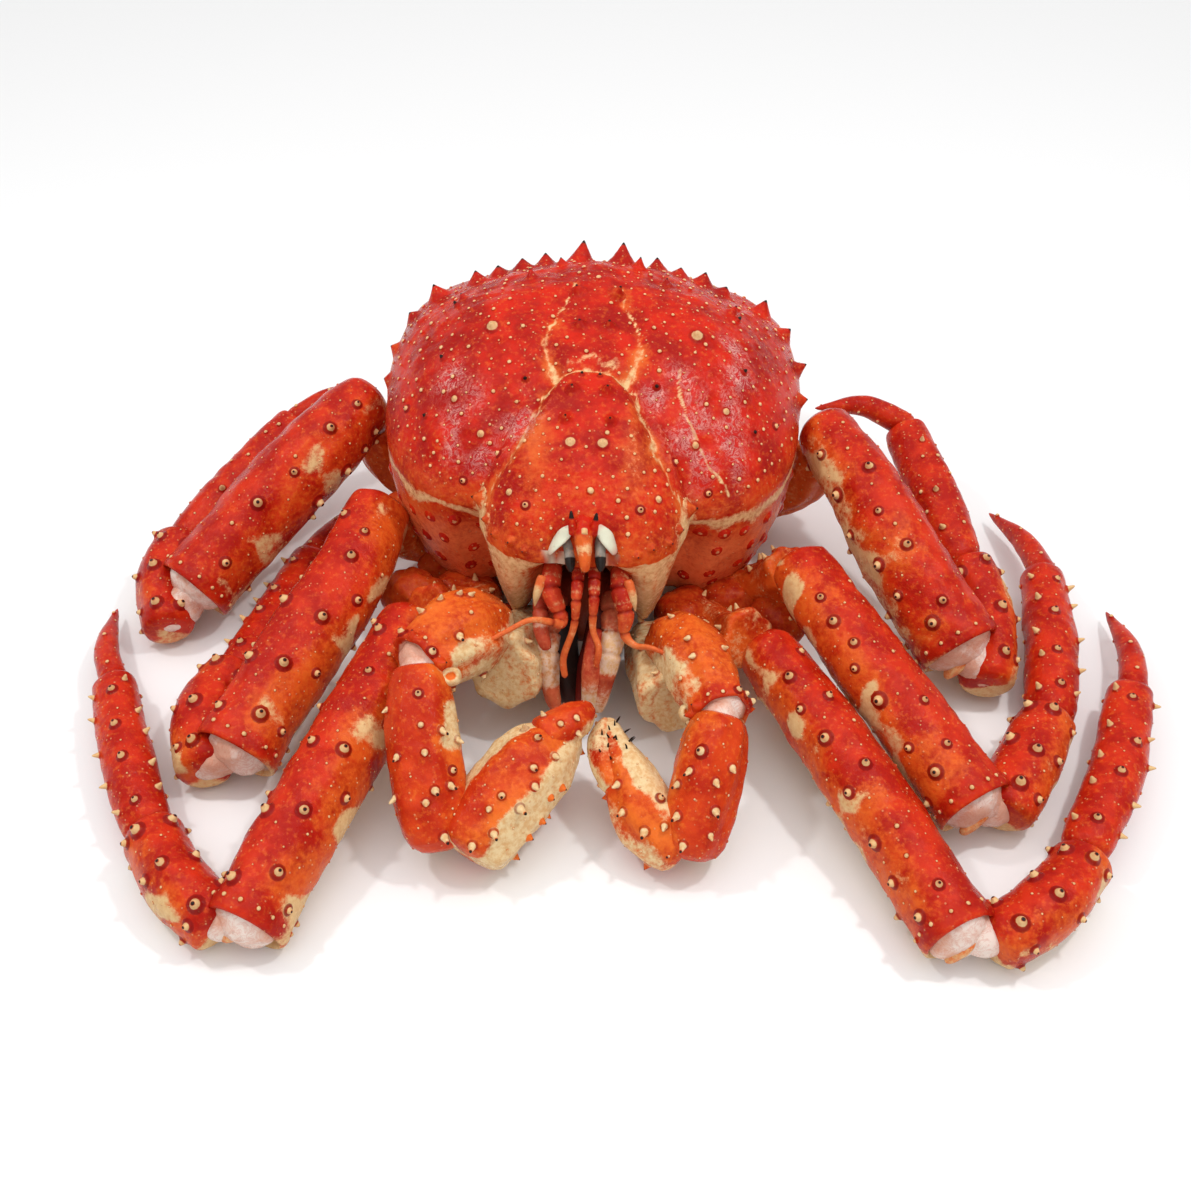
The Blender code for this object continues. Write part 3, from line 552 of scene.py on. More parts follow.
# growths in mirrored pairs: (x, y, radius, height)
THORNS = [(10, 60, 5.0, 10), (26, 63, 4.4, 7), (37, 60, 4.0, 5), (48, 60, 4.0, 6), (58, 54, 4.0, 5),
          (76, 50, 4.0, 7), (87, 41, 3.6, 5), (93, 22, 3.0, 5), (94, 4, 2.8, 4), (8, 12, 2.6, 5),
          (6.3, -9.6, 2.6, 4.4), (7, -46.8, 2.2, 4), (9, -59.6, 2.0, 3.4), (30, 30, 2.2, 4),
          (18, 46, 2.2, 4.5), (60, 22, 2.2, 4), (42.5, -75, 3.0, 5), (40, -87, 1.7, 3), (35, -94, 1.6, 2.6),
          (29, -99, 1.6, 2.6), (23, -102, 1.5, 2.4)]
PEGS = [(22.6, -90, 1.3, 2.0), (36, -64, 1.2, 1.8), (52, -66, 1.2, 1.8), (80, -30, 1.2, 2.0)]
SPOTS = [(65, -18, 1.3, 2.4), (70, -40, 1.2, 2.0), (27, -37, 1.2, 2.2), (62.7, 17, 1.3, 2.4),
         (3.5, -38.7, 1.0, 1.8)]
CONES = [(43.5, -8.8, 2.2, 3.0), (6.2, -69, 1.9, 2.0), (45, -54, 1.4, 1.8), (57, -39, 1.3, 1.6),
         (30, -84, 1.3, 1.4)]
GRAINS_APART, DISCS_APART = 0.0053, 0.0105     # in metres
dice = np.random.default_rng(5)
growths, feet = [], []


def plant(kind, tx, ty, radius, height):
    """One growth on the upper face, where the grid comes nearest to that place."""
    spot = int(np.argmin((x - tx) ** 2 + (y - ty) ** 2 + 1e6 * ~upper_face))
    if kind == "thorn":
        # worn to other heights, and lowest along the viewer's left edge
        height *= dice.uniform(0.8, 1.1) * (0.6 if tx < -80 else 1.0)
    growths.append((spot, kind, radius, height, np.array([0.0, 0.0, 0.25 if ty > 20 else 0.0])))
    feet.append(spot)


for kind, listed in (("thorn", THORNS), ("peg", PEGS), ("prick", SPOTS), ("cone", CONES)):
    for tx, ty, radius, height in listed:
        plant(kind, tx, ty, radius, height)
        plant(kind, -tx, ty, radius, height)
plant("bead", 2.3, -86.6, 1.4, 1.4)
plant("bead", 0, 24, 1.2, 1.2)


def strewn(points, allowed, feet, apart, tries, dice):
    """Indices of points, out of that many tries, that keep apart from each other and from the feet."""
    chosen, taken = [], [points[f] for f in feet]
    for spot in dice.choice(np.flatnonzero(allowed), tries):
        if not taken or np.min(np.linalg.norm(np.array(taken) - points[spot], axis=1)) > apart:
            chosen.append(int(spot))
            taken.append(points[spot])
    return chosen


for spot in strewn(points, upper_face & (seam < 0.2) & (share < 0.97), feet, GRAINS_APART, 4200, dice):
    size = 0.4 + 0.6 * dice.uniform() ** 2
    growths.append((spot, "bead", size, size * 1.1, np.zeros(3)))
on_wall = (down > 0.18) & (down < 0.92) & (close == 0) & (cheek < 0.3) & (front < 0.3)
for spot in strewn(points, on_wall, [], DISCS_APART, 900, dice):
    size = dice.uniform(1.2, 1.6)
    growths.append((spot, "disc", size, size * 0.6, np.zeros(3)))
grow(shell, growths, dice)


def ball(segments, rings):
    """Unit sphere as arrays, with its faces."""
    bpy.ops.mesh.primitive_uv_sphere_add(segments=segments, ring_count=rings, radius=1.0)
    return taken_mesh(bpy.context.active_object)


def curve_at(chain, share):
    """Points of the smooth curve through a chain, at shares of its length."""
    chain = np.array(chain, float)
    steps = np.r_[0, np.cumsum(np.linalg.norm(np.diff(chain[:, :3], axis=0), axis=1))]
    steps /= steps[-1]
    ends = np.vstack([2 * chain[0] - chain[1], chain, 2 * chain[-1] - chain[-2]])
    i = np.clip(np.searchsorted(steps, share) - 1, 0, len(chain) - 2)
    t = ((share - steps[i]) / (steps[i + 1] - steps[i]))[:, None]
    p0, p1, p2, p3 = (ends[i + k] for k in range(4))
    return 0.5 * (2 * p1 + (p2 - p0) * t + (2 * p0 - 5 * p1 + 4 * p2 - p3) * t * t
                  + (3 * p1 - p0 - 3 * p2 + p3) * t ** 3)


def along_limb(chain, share):
    """Centre, radius, side and upper directions at each share of a limb's length."""
    here = curve_at(chain, share)
    ahead = curve_at(chain, np.minimum(share + 0.02, 1.0)) - curve_at(chain, np.maximum(share - 0.02, 0))
    ahead = ahead[:, :3]
    ahead /= np.linalg.norm(ahead, axis=1)[:, None]
    side = np.cross(ahead, [0, 0, 1.0])
    side /= np.linalg.norm(side, axis=1)[:, None]
    return here[:, :3], here[:, 3], side, np.cross(side, ahead)


def tube(chain, outline, segments, rings, flat=1.0, ridged=0.04, seed=0, folds=0.0):
    """A limb tube's points, faces, shares, angles and length: a ball drawn out along its chain."""
    unit, faces = ball(segments, rings)
    t = 0.5 - np.arcsin(np.clip(unit[:, 2], -1, 1)) / np.pi
    angle = np.arctan2(unit[:, 1], unit[:, 0])
    length = np.sum(np.linalg.norm(np.diff(chain[:, :3], axis=0), axis=1))
    mean = chain[:, 3].mean()
    outline = np.array(outline)
    walk = np.r_[0, np.cumsum(np.hypot(np.diff(outline[:, 0]) * length, np.diff(outline[:, 1]) * mean))]
    walk /= walk[-1]
    share, reach = np.interp(t, walk, outline[:, 0]), np.interp(t, walk, outline[:, 1])
    centre, radius, side, upper = along_limb(chain, share)
    shape = 1 + ridged * np.cos(2 * (angle - 1.1)) + 0.6 * ridged * np.cos(3 * angle + seed)
    shape += folds * np.sin(7 * angle + 5 * share + seed) * np.clip(reach * 1.5 - 0.5, 0, 1)
    spread = (radius * reach * shape)[:, None]
    points = centre + spread * (side * np.cos(angle)[:, None] + upper * flat * np.sin(angle)[:, None])
    uneven = 0.03 * waves(points, 12, seed + 20) + 0.016 * waves(points, 4.5, seed + 30)
    points += uneven[:, None] * (points - centre) * np.clip(reach * 1.5, 0, 1)[:, None]
    return points, faces, share, angle, length, t


def body_tube(piece, chain, outline, segments, rings, flat=1.0, **paint):
    """A tube along a chain in the shell's frame, as a new piece or added to one."""
    chain = np.array([(*on_body(px, py, ph), radius) for px, py, ph, radius in chain])
    points, faces, share, *_ = tube(chain, outline, segments, rings, flat, 0.03, 3)
    paint = {name: np.interp(share, *value) if isinstance(value, tuple) else value
             for name, value in paint.items()}
    if piece is None:
        return clay(to_frame(points), faces, bare(len(points), **paint))
    add_to(piece, to_frame(points), faces, bare(len(points), **paint))
    return piece


# outline of a blunt round-ended tube along its length: (share of length, share of radius)
BLUNT = [(0, 0), (0, 0.5), (0.01, 0.78), (0.04, 0.95), (0.1, 1), (0.85, 1), (0.94, 0.93), (0.98, 0.7),
         (1, 0.35), (1, 0)]
# the rostrum with a painted cream highlight along it, its pair of black-tipped spines, its bead painted
# white as a highlight, and the soft pale blades over the eye sockets:
# chains of (across, along, height, radius), with the paint along them
INK_TIPPED = {"warm": 0.1, "ring": 0.1, "dark": ([0.6, 0.8], [0, 1])}
for chain, paint in (
        ([(0.8, -94, 6.5, 5.2), (0.9, -102, 6.0, 4.2), (1.8, -109, 2.5, 3.0), (2.5, -115, -1.5, 2.0)],
         {"warm": ([0, 0.35, 0.5, 1], [0, 0.2, 1.0, 0.7]),
          # painted highlight: the cream band along the rostrum
          "pale": ([0.42, 0.6, 0.72, 0.8, 0.95], [0, 0.62, 0.5, 0, 0.3]),
          "ring": ([0, 0.3, 0.45, 0.75, 0.85], [0.15, 0.25, 0, 0.1, 0.3])}),
        ([(-2.8, -101, 6, 2.3), (-3.8, -100, 11, 1.5), (-4.3, -98.5, 16, 0.5)], INK_TIPPED),
        ([(4.4, -101, 6, 2.3), (5.4, -100, 11, 1.5), (5.9, -98.5, 15.5, 0.5)], INK_TIPPED),
        # painted highlight: the bead on the rostrum is painted white
        ([(1.3, -102, 9.6, 1.4), (1.5, -104.5, 9.0, 1.3)], {"pale": 0.95}),
        ([(-3.8, -96.5, 6.5, 2.4), (-8.2, -99.8, 2.6, 3.7), (-13.4, -101.5, -4.0, 3.0)],
         {"flat": 0.35, "milk": ([0, 0.2, 0.7, 1], [0.5, 1, 1, 0.5])}),
        ([(6.4, -96.5, 7.0, 2.6), (10.6, -99.8, 3.2, 3.8), (14.4, -101.5, -2.8, 2.6)],
         {"flat": 0.35, "milk": ([0, 0.2, 0.7, 1], [0.5, 1, 1, 0.4])})):
    body_tube(shell, chain, BLUNT, 24, 32, **paint)
carapace_finish = shell_finish("carapace_shell", 0.7, Deep=(0.35, 0.006, 0.003), Bright=(0.60, 0.016, 0.004),
                               Orange=(0.68, 0.115, 0.017), Cream=(0.80, 0.51, 0.25))
show(shell, "carapace", carapace_finish)

# ==== Thorax and folded abdomen ====
# Under the shell lies the pale breast plate, and from the rear edge the broad soft abdomen curls
# forwards under it and lies on the floor. Both are leathery cream skin with tan, ridged plates.
underside = shell_finish("pale_underside", 0.5, Deep=(0.52, 0.20, 0.08), Bright=(0.62, 0.30, 0.14),
                         Orange=(0.68, 0.36, 0.17), Cream=(0.72, 0.53, 0.35))
# half width, height and half thickness at shares of the half length from front to rear, in millimetres
PLATES = {
    "thorax": {"wide": ([-1, -0.5, 0.3, 1], [34, 58, 72, 62]), "lift": ([-1, 1], [-65.3, -65.3]),
               "thick": ([-1, 1], [8.6, 8.6]), "long": 73, "back": -2, "ridges": 5},
    "abdomen": {"wide": ([-1, -0.4, 0.4, 1], [26, 46, 56, 50]), "thick": ([-1, 0.2, 1], [9, 13, 14.6]),
                "lift": ([-1, 0.2, 0.7, 1], [-78, -75, -71, -66]), "long": 67, "back": 12, "ridges": 6}}
FURROW = 1.6                     # depth of the furrows between the ridges
for node, plate in PLATES.items():
    unit, faces = ball(160, 100)
    block = np.sign(unit[:, 2]) * np.abs(unit[:, 2]) ** 0.6
    wide, lift, thick = (np.interp(unit[:, 1], *plate[name]) for name in ("wide", "lift", "thick"))
    furrow = np.abs(np.sin(unit[:, 1] * plate["ridges"] * np.pi / 2 + 0.4)) ** 0.35
    spots = np.stack([unit[:, 0] * wide, unit[:, 1] * plate["long"] + plate["back"],
                      lift + (thick - FURROW + FURROW * furrow) * block], -1)
    spots[:, 2] += 0.35 * waves(spots, 7, 11)
    under_shell = clay(to_frame(on_body(*spots.T)), faces,
                       bare(len(unit), warm=0.4 + 0.5 * (furrow < 0.7), pale=0.35 + 0.5 * furrow))
    if node == "thorax":
        # a dark brown lump for the mouth field stands forward of the breast plate, painted dark as the shade
        # in the mouth
        unit, faces = ball(48, 32)
        spots = unit * (17, 22, 13) + (3, -79, -52)
        spots += 0.5 * waves(spots, 9, 12)[:, None] * unit
        add_to(under_shell, to_frame(on_body(*spots.T)), faces,
               bare(len(unit), warm=0.2, ring=0.85, dark=0.22))
    show(under_shell, node, underside)

# ==== Walking legs ====
# Six folded legs, each of five hard tubes joined by soft skin: the knee end of the thick merus gapes and
# shows white meat where the next tube folds back beside it. The shell is red, cream underneath, with
# cream pegs whose feet are ringed with dark red and whose tips are black.
# chains run outwards, as (x, y, z, radius) in millimetres over the floor
LEGS = {
    "right_leg_a": {
        "ischium": [(72, 26, 15, 10), (88, 24, 19, 10.5), (103, 22, 30, 11.5), (109, 19, 48, 13)],
        "merus": [(110, 15, 68, 15), (126, -21, 60, 18), (143, -57, 44, 19.5), (159, -85, 30, 18.5)],
        "carpus": [(175, -97, 17, 12.5), (179, -66, 22, 14), (175, -42, 28, 12.5)],
        "propodus": [(171, -35, 30, 11), (167, -5, 36, 12), (157, 42, 45, 10.5)],
        "dactyl": [(151, 50, 49, 6.5), (136, 53, 55, 5.5), (109, 42, 62, 1.6)]},
    "right_leg_b": {
        "ischium": [(60, -34, 15, 10), (73, -41, 19, 10.5), (84, -47, 28, 12), (89, -52, 38, 13)],
        "merus": [(92, -62, 50, 15), (110, -99, 43, 16.5), (132, -134, 31, 17), (151, -166, 21, 16.5)],
        "carpus": [(168, -167, 15, 13), (181, -146, 17, 14), (193, -126, 16, 12.5)],
        "propodus": [(198, -118, 15, 11), (207, -80, 18, 12), (213, -36, 19, 10)],
        "dactyl": [(214, -27, 19, 6.5), (212, -5, 15, 5.5), (203, 26, 7, 1.6)]},
    "right_leg_c": {
        "ischium": [(46, -54, 15, 10), (60, -76, 21, 12), (67, -86, 30, 13.5)],
        "merus": [(75, -101, 37, 14.5), (98, -144, 31, 15.8), (118, -184, 23, 16), (136, -223, 16, 15.5)],
        "carpus": [(154, -227, 13, 12.5), (174, -215, 15, 13.5), (191, -197, 15, 12)],
        "propodus": [(196, -186, 14, 10.5), (217, -152, 16, 11.5), (235, -108, 16, 10)],
        "dactyl": [(239, -99, 17, 6.5), (244, -78, 14, 5.5), (244, -46, 7, 1.6)]},
    "left_leg_a": {
        "ischium": [(-72, 33, 15, 10), (-88, 35, 19, 10.5), (-103, 38, 30, 11.5), (-109, 40, 48, 13)],
        "merus": [(-113, 40, 69, 14), (-131, 15, 60, 18), (-156, -10, 44, 18.5), (-184, -44, 27, 17)],
        "carpus": [(-199, -61, 15, 12.5), (-205, -38, 19, 14), (-201, -19, 23, 12.5)],
        "propodus": [(-198, -12, 25, 11), (-178, 16, 34, 12.5), (-154, 47, 46, 11)],
        "dactyl": [(-147, 54, 50, 6.5), (-133, 61, 55, 5.5), (-111, 62, 60, 1.6)]},
    "left_leg_b": {
        "ischium": [(-64, -8, 15, 10), (-79, -9, 19, 10.5), (-92, -12, 28, 12), (-97, -16, 38, 13)],
        "merus": [(-101, -24, 51, 15), (-111, -60, 44, 17), (-132, -102, 32, 17.5), (-149, -138, 21, 16.5)],
        "carpus": [(-165, -144, 14.5, 12.8), (-170, -119, 15, 14), (-164.5, -97, 15, 12.5)],
        "propodus": [(-161, -89, 13, 10.5), (-152, -55, 11.5, 10.5), (-141, -14, 10.5, 9.5)],
        "dactyl": [(-139, -5, 10, 6.5), (-131, 14, 8, 5.5), (-117, 38, 5, 1.6)]},
    "left_leg_c": {
        "ischium": [(-50, -43, 15, 10), (-66, -64, 22, 12), (-73, -73, 32, 13.5)],
        "merus": [(-81, -88, 40, 15), (-99, -139, 33, 16.5), (-118, -185, 24, 16.5), (-132, -219, 16, 15)],
        "carpus": [(-147, -219, 13, 12.5), (-164, -203, 15, 13.5), (-177, -184, 15, 12)],
        "propodus": [(-182, -176, 14, 10.5), (-198, -142, 16, 11.5), (-213, -103, 16, 10)],
        "dactyl": [(-216, -95, 17, 6.5), (-224, -76, 14, 5.5), (-229, -44, 7, 1.6)]}}
# how far each part's two ends run on past its chain, in radii
ENDS = {"ischium": (0.0, 0.35), "merus": (0.35, 0.45), "carpus": (0.4, 0.4), "propodus": (0.35, 0.35),
        "palm": (0.5, 0.0), "dactyl": (1.5, 0.0), "finger": (1.0, 0.0)}
# outline of each tube along its length: (share of length, share of radius)
TIP = [(0, 0), (0, 0.6), (0.02, 0.82), (0.1, 0.98), (0.3, 1), (0.7, 0.96), (0.9, 0.78), (0.97, 0.5),
       (1, 0.2), (1, 0)]
OUTLINES = {
    "merus": [(0, 0), (0, 0.5), (0.008, 0.75), (0.03, 0.93), (0.07, 0.97), (0.13, 0.98), (0.5, 1), (0.86, 1),
              (0.93, 1.03), (0.965, 1.07), (0.985, 1.06), (0.993, 1.0), (0.985, 0.93), (0.965, 0.86),
              (0.945, 0.7), (0.94, 0.4), (0.94, 0)],
    "tube": [(0, 0), (0, 0.5), (0.01, 0.76), (0.04, 0.94), (0.1, 1), (0.5, 1), (0.85, 1), (0.93, 1.02),
             (0.975, 1.0), (0.995, 0.93), (1, 0.8), (0.99, 0.6), (0.985, 0.3), (0.985, 0)],
    "forearm": [(0, 0), (0, 0.5), (0.01, 0.72), (0.04, 0.88), (0.1, 0.96), (0.2, 1), (0.78, 1), (0.88, 0.93),
                (0.95, 0.76), (0.99, 0.48), (1, 0.25), (1, 0)],
    "palm": BLUNT, "dactyl": TIP, "finger": TIP}


def lengthened(chain, near, far):
    """A chain with its two ends drawn out by those shares of their own radii."""
    chain = np.array(chain, float)
    for end, after, share in ((0, 1, near), (-1, -2, far)):
        away = chain[end, :3] - chain[after, :3]
        chain[end, :3] += away / np.linalg.norm(away) * chain[end, 3] * share
    return chain


# growths by letter: (kind, radius, height) in millimetres, with the bristle's own outline
SIZES = {"B": ("peg", 2.0, 3.2), "m": ("peg", 1.5, 2.4), "s": ("bead", 0.9, 1.1), "c": ("inked", 1.35, 4.2),
         "d": ("cone", 1.2, 3.4), "t": ("thorn", 1.5, 3.0), "h": ("bristle", 0.4, 3.0)}
GROWTHS["bristle"] = ([(1.3, -.3), (1.0, .2), (.7, .6), (.3, .95)], [0] * 4, [0] * 4, [.5, 1, 1, 1], 5)
# pegs as the photograph shows them: (share of the length, angle round the tube in degrees, letter)
SEEN = {
    "right_leg_a_merus": [(.18, 30, "m"), (.33, 15, "B"), (.32, 80, "B"), (.11, 90, "s"), (.47, 60, "m"),
        (.48, 5, "m"), (.62, 70, "B"), (.63, 25, "B"), (.74, 25, "m"), (.77, 345, "m"), (.88, 45, "B"),
        (.84, 72, "m"), (.95, 350, "m"), (.22, 70, "s"), (.53, 72, "s")],
    "right_leg_b_merus": [(.22, 60, "m"), (.2, 125, "s"), (.31, 55, "B"), (.4, 60, "m"), (.46, 38, "m"),
        (.58, 40, "B"), (.66, 90, "m"), (.48, 100, "s"), (.76, 35, "m"), (.81, 80, "m"), (.86, 45, "B"),
        (.91, 5, "m")],
    "right_leg_c_merus": [(.12, 110, "m"), (.18, 65, "B"), (.29, 95, "m"), (.28, 50, "m"), (.39, 55, "B"),
        (.38, 105, "s"), (.51, 80, "m"), (.55, 40, "m"), (.7, 30, "B"), (.7, 68, "s"), (.81, 20, "m"),
        (.88, 75, "m"), (.92, 30, "B"), (.78, 60, "s")],
    "right_leg_a_propodus": [(.82, 85, "d"), (.71, 100, "s"), (.7, 65, "s"), (.46, 105, "d"),
        (.22, 120, "d"), (.58, 55, "s"), (.49, 140, "s"), (.18, 145, "s"), (.23, 70, "s"),
        (.36, 145, "s")],
    "right_leg_a_dactyl": [(.32, 195, "s"), (.58, 190, "s")],
    "left_leg_a_merus": [(.26, 120, "B"), (.13, 125, "m"), (.4, 115, "s"), (.45, 132, "m"),
        (.31, 195, "B"), (.21, 195, "m"), (.14, 192, "m"), (.47, 195, "B"), (.63, 120, "B"),
        (.75, 110, "s"), (.87, 140, "B")],
    "left_leg_a_propodus": [(.88, 38, "d"), (.8, 35, "d"), (.7, 42, "d"), (.51, 40, "d"), (.39, 35, "d"),
        (.36, 72, "d"), (.63, 80, "s"), (.8, 88, "s"), (.89, 80, "s"), (.54, 105, "s")],
    "left_leg_b_merus": [(.21, 105, "m"), (.15, 60, "m"), (.3, 105, "B"), (.29, 165, "s")],
    "left_leg_c_merus": [(.1, 50, "m"), (.13, 72, "B"), (.2, 105, "s"), (.27, 90, "m")],
    "left_claw_merus": [(.58, 65, "d"), (.46, 75, "d"), (.43, 85, "d"), (.71, 55, "d"), (.7, 125, "c"),
        (.92, 95, "s"), (.55, 110, "s")],
    "left_claw_carpus": [(.18, 90, "m"), (.34, 90, "d"), (.38, 120, "c"), (.49, 50, "c"), (.49, 90, "d"),
        (.61, 130, "m"), (.68, 118, "c"), (.69, 95, "c"), (.69, 35, "d"), (.75, 78, "d"), (.93, 100, "c"),
        (.24, 30, "d"), (.44, 150, "d")],
    "left_claw_palm": [(.72, 115, "d"), (.71, 85, "c"), (.72, 50, "d"), (.58, 60, "c"), (.35, 70, "c"),
        (.25, 75, "d"), (.35, 45, "c"), (.5, 45, "d"), (.16, 55, "c"), (.05, 70, "c"), (.54, 15, "t"),
        (.63, 10, "t"), (.4, 5, "t"), (.25, 5, "t")],
    "left_claw_finger": [(.3, 70, "d"), (.2, 110, "d"), (.55, 60, "d"), (.45, 20, "d")],
    "right_claw_merus": [(.21, 80, "d"), (.24, 92, "d"), (.47, 75, "d"), (.62, 70, "d"), (.58, 125, "d"),
        (.71, 35, "s"), (.94, 65, "s"), (.95, 88, "s")],
    "right_claw_carpus": [(.3, 80, "B"), (.41, 70, "c"), (.51, 50, "c"), (.44, 110, "d"), (.35, 135, "d"),
        (.71, 65, "c"), (.62, 120, "c"), (.88, 80, "c"), (.78, 120, "d"), (.95, 55, "c")],
    "right_claw_palm": [(.54, 135, "d"), (.39, 145, "c"), (.26, 135, "c"), (.37, 75, "m"), (.2, 105, "d"),
        (.75, 60, "h"), (.8, 90, "h"), (.85, 45, "h"), (.9, 75, "h"), (.78, 30, "h"), (.83, 110, "h"),
        (.88, 100, "h"), (.93, 60, "h"), (.7, 80, "h")],
    "right_claw_finger": [(.2, 60, "h"), (.3, 90, "h"), (.4, 50, "h"), (.5, 80, "h"), (.6, 60, "h"),
        (.45, 110, "h"), (.7, 90, "h"), (.25, 30, "h"), (.55, 30, "h")]}
# up to this share of its length a part's near side has only the pegs listed above
SEEN_TO = {"left_leg_b_merus": 0.36, "left_leg_c_merus": 0.33}
# rows of pegs on the sides that the photograph doesn't show: (angle in degrees, how many, letter)
ROWS = {"merus": [(20, 4, "m"), (65, 5, "B"), (115, 5, "B"), (165, 4, "m"), (215, 3, "s"), (320, 3, "m")],
        "carpus": [(35, 3, "m"), (80, 3, "B"), (130, 3, "B"), (180, 2, "m"), (330, 2, "m")],
        "propodus": [(30, 5, "d"), (80, 4, "m"), (130, 5, "d"), (185, 3, "s")],
        "ischium": [(60, 3, "d"), (110, 3, "d"), (150, 2, "s")],
        "dactyl": [(90, 3, "s")], "palm": [(215, 3, "t"), (300, 4, "t")], "finger": [(200, 2, "s")]}
PEGS_APART, BRISTLES_APART, BEADS_APART = 0.0042, 0.002, 0.0078     # in metres


def limb(leg, part, chain, seed):
    """One dressed tube of a leg or claw, with its pegs and beads."""
    name, left, claw = leg + "_" + part, leg.startswith("left"), leg.endswith("claw")
    chain = lengthened(chain, *ENDS[part])
    slim = part in ("dactyl", "finger")
    outline = OUTLINES["forearm" if claw and part == "carpus" else part if part in OUTLINES else "tube"]
    reach = np.sum(np.linalg.norm(np.diff(chain[:, :3], axis=0), axis=1))
    points, faces, share, angle, length, t = tube(
        chain, outline, 48 if slim else 72, int(40 + reach * 0.75), flat=0.9 if part == "propodus" else 1.0,
        ridged=0.02 if slim else 0.045, seed=seed, folds=0.05 if part == "ischium" else 0.03 if claw else 0)
    patch = waves(points, 17, seed + 3) + 0.5 * waves(points, 6, seed + 4)

    def facing(degrees, low, high, rough=0.35):
        """1 where the tube faces that way round, with a ragged edge; left limbs mirror right ones."""
        around = math.radians(180 - degrees if left else degrees)
        return smooth(np.cos(angle - around) + rough * patch, low, high)

    # cream underneath and in blots on the outer side, orange between the cream and the red
    low = smooth(-np.sin(angle) + 0.2 * patch, 0.15, 0.8)
    blots = smooth(waves(points, 13, seed + 6), -0.1, 0.6)
    if leg == "right_leg_a":
        blots = 0.6 + 0.4 * blots
    offset = np.cos(angle) * np.interp(share, np.linspace(0, 1, len(chain)), chain[:, 3])
    streak = 0.5 + 0.5 * np.sin(0.75 * offset + seed + 2.2 * waves(points, 12, seed + 7))
    pale = np.maximum(0.9 * facing(345, 0.3, 0.95) * blots, 0.8 * low)
    warm = np.maximum(facing(5, 0.0, 1.0) * 0.58, 0.85 * low)
    ring, flesh = np.zeros((2, len(points)))
    # painted shade: the viewer's left front leg is painted darker and less cream than the others, standing
    # in for the shade on the side away from the key light
    if leg == "left_leg_a":
        warm, pale = 0.6 * warm, 0.75 * pale
    if claw and part == "merus":
        pale = np.maximum(pale, facing(335, 0.1, 0.7) * (0.45 + 0.5 * streak))
        warm = np.maximum(warm, 0.55)
    if part == "palm":
        if left:
            inner, outer_edge = facing(28, 0.6, 0.85, 0.12), facing(190, 0.35, 0.75, 0.12)
        else:
            inner, outer_edge = facing(48, 0.5, 0.9, 0.15), 0.5 * facing(195, 0.6, 1.0, 0.2)
        pale = 1.3 * np.maximum(inner, outer_edge)
        pale = np.maximum(pale, 0.8 * smooth(share + 0.06 * patch, 0.8, 0.95))
        warm = np.maximum(0.55 + 0.3 * patch, pale)
    if part == "finger":
        warm, pale = 0.5 + 0.3 * patch, 0.85 * facing(205, 0.1, 0.8)
    if part == "merus":
        # a dark rim round the open knee, and white meat on the inside of it
        rim = bell(share - 0.96, 0.08 if claw else 0.03) * smooth(np.sin(angle), -0.5, 0.4)
        pale, warm, ring = pale * (1 - 0.95 * rim), warm * (1 - 0.95 * rim), (0.3 if claw else 0.4) * rim
        turned_in = np.linalg.norm(points - along_limb(chain, share)[0], axis=1) < 0.92 * chain[-1, 3]
        flesh = 1.0 * ((t > 0.6) & (share > 0.93) & (share < 0.975) & turned_in)
    if part == "ischium":
        if claw:
            streak = 0.5 + 0.5 * np.sin(0.7 * points[:, 0] + 2.0 * waves(points, 14, seed + 7))
        warm, pale = warm * 0.4 + 0.5, (0.7 if claw else 0.2) + 0.12 * patch + 0.16 * streak
        ring = 0.25 * (1 - streak) ** 2
    if name in ("right_claw_palm", "right_claw_finger"):
        # brown-stained inner faces of the right pincers
        stain = smooth(share + 0.05 * patch, 0.6, 0.75) if part == "palm" else 0.8
        ring, pale = 0.22 * stain, np.maximum(pale, 0.8 * stain * (0.5 + 0.5 * blots))
    if part in ("dactyl", "propodus"):
        warm, pale, ring = warm * 0.4, pale * 0.4, ring + (0.25 if slim else 0.1)
    piece = clay(to_frame(points), faces, bare(len(points), warm=warm, pale=pale, ring=ring, flesh=flesh))
    dice = np.random.default_rng(seed + 50)
    growths, feet = [], []

    def place(at, degrees, letter):
        """A growth at that share and angle of the tube, unless it would stand too near to another."""
        around = np.angle(np.exp(1j * (angle - math.radians(degrees))))
        gap = ((share - at) * length) ** 2 + (12 * around) ** 2
        spot = int(np.argmin(gap + 1e6 * (flesh > 0.5)))
        away = [np.linalg.norm(piece["points"][spot] - piece["points"][f]) for f in feet]
        if feet and min(away) < (BRISTLES_APART if letter == "h" else PEGS_APART):
            return
        kind, radius, height = SIZES[letter]
        size = dice.uniform(0.88, 1.12)
        lean = dice.normal(size=3) * 0.08
        if claw and letter in "cd":
            lean += [0.2 if left else -0.1, -0.4, -0.35]
        growths.append((spot, kind, radius * size, height * size, lean))
        feet.append(spot)

    for at, degrees, letter in SEEN.get(name, []):
        place(at, degrees, letter)
    for degrees, count, letter in ROWS[part]:
        for at in np.linspace(0.14, 0.88, count):
            if not (name in SEEN and 0 < degrees < 190 and at < SEEN_TO.get(name, 1.0)):
                at += dice.uniform(-0.04, 0.04)
                place(at, (180 - degrees if left else degrees) + dice.uniform(-9, 9), letter)
    if part == "merus":
        # a collar of small thorns or beads round the knee
        for degrees in range(-10, 200, 14 if claw else 26):
            place(0.955, degrees + dice.uniform(-4, 4), dice.choice(["t", "t", "m"]) if claw else "s")
    allowed = (flesh < 0.5) & (share > 0.06) & (share < 0.96) & (np.sin(angle) > -0.6)
    for spot in strewn(piece["points"], allowed, feet, BEADS_APART, 420, dice):
        size = dice.uniform(0.3, 0.6)
        growths.append((spot, "bead", size, size, np.zeros(3)))
    grow(piece, growths, dice)
    return piece


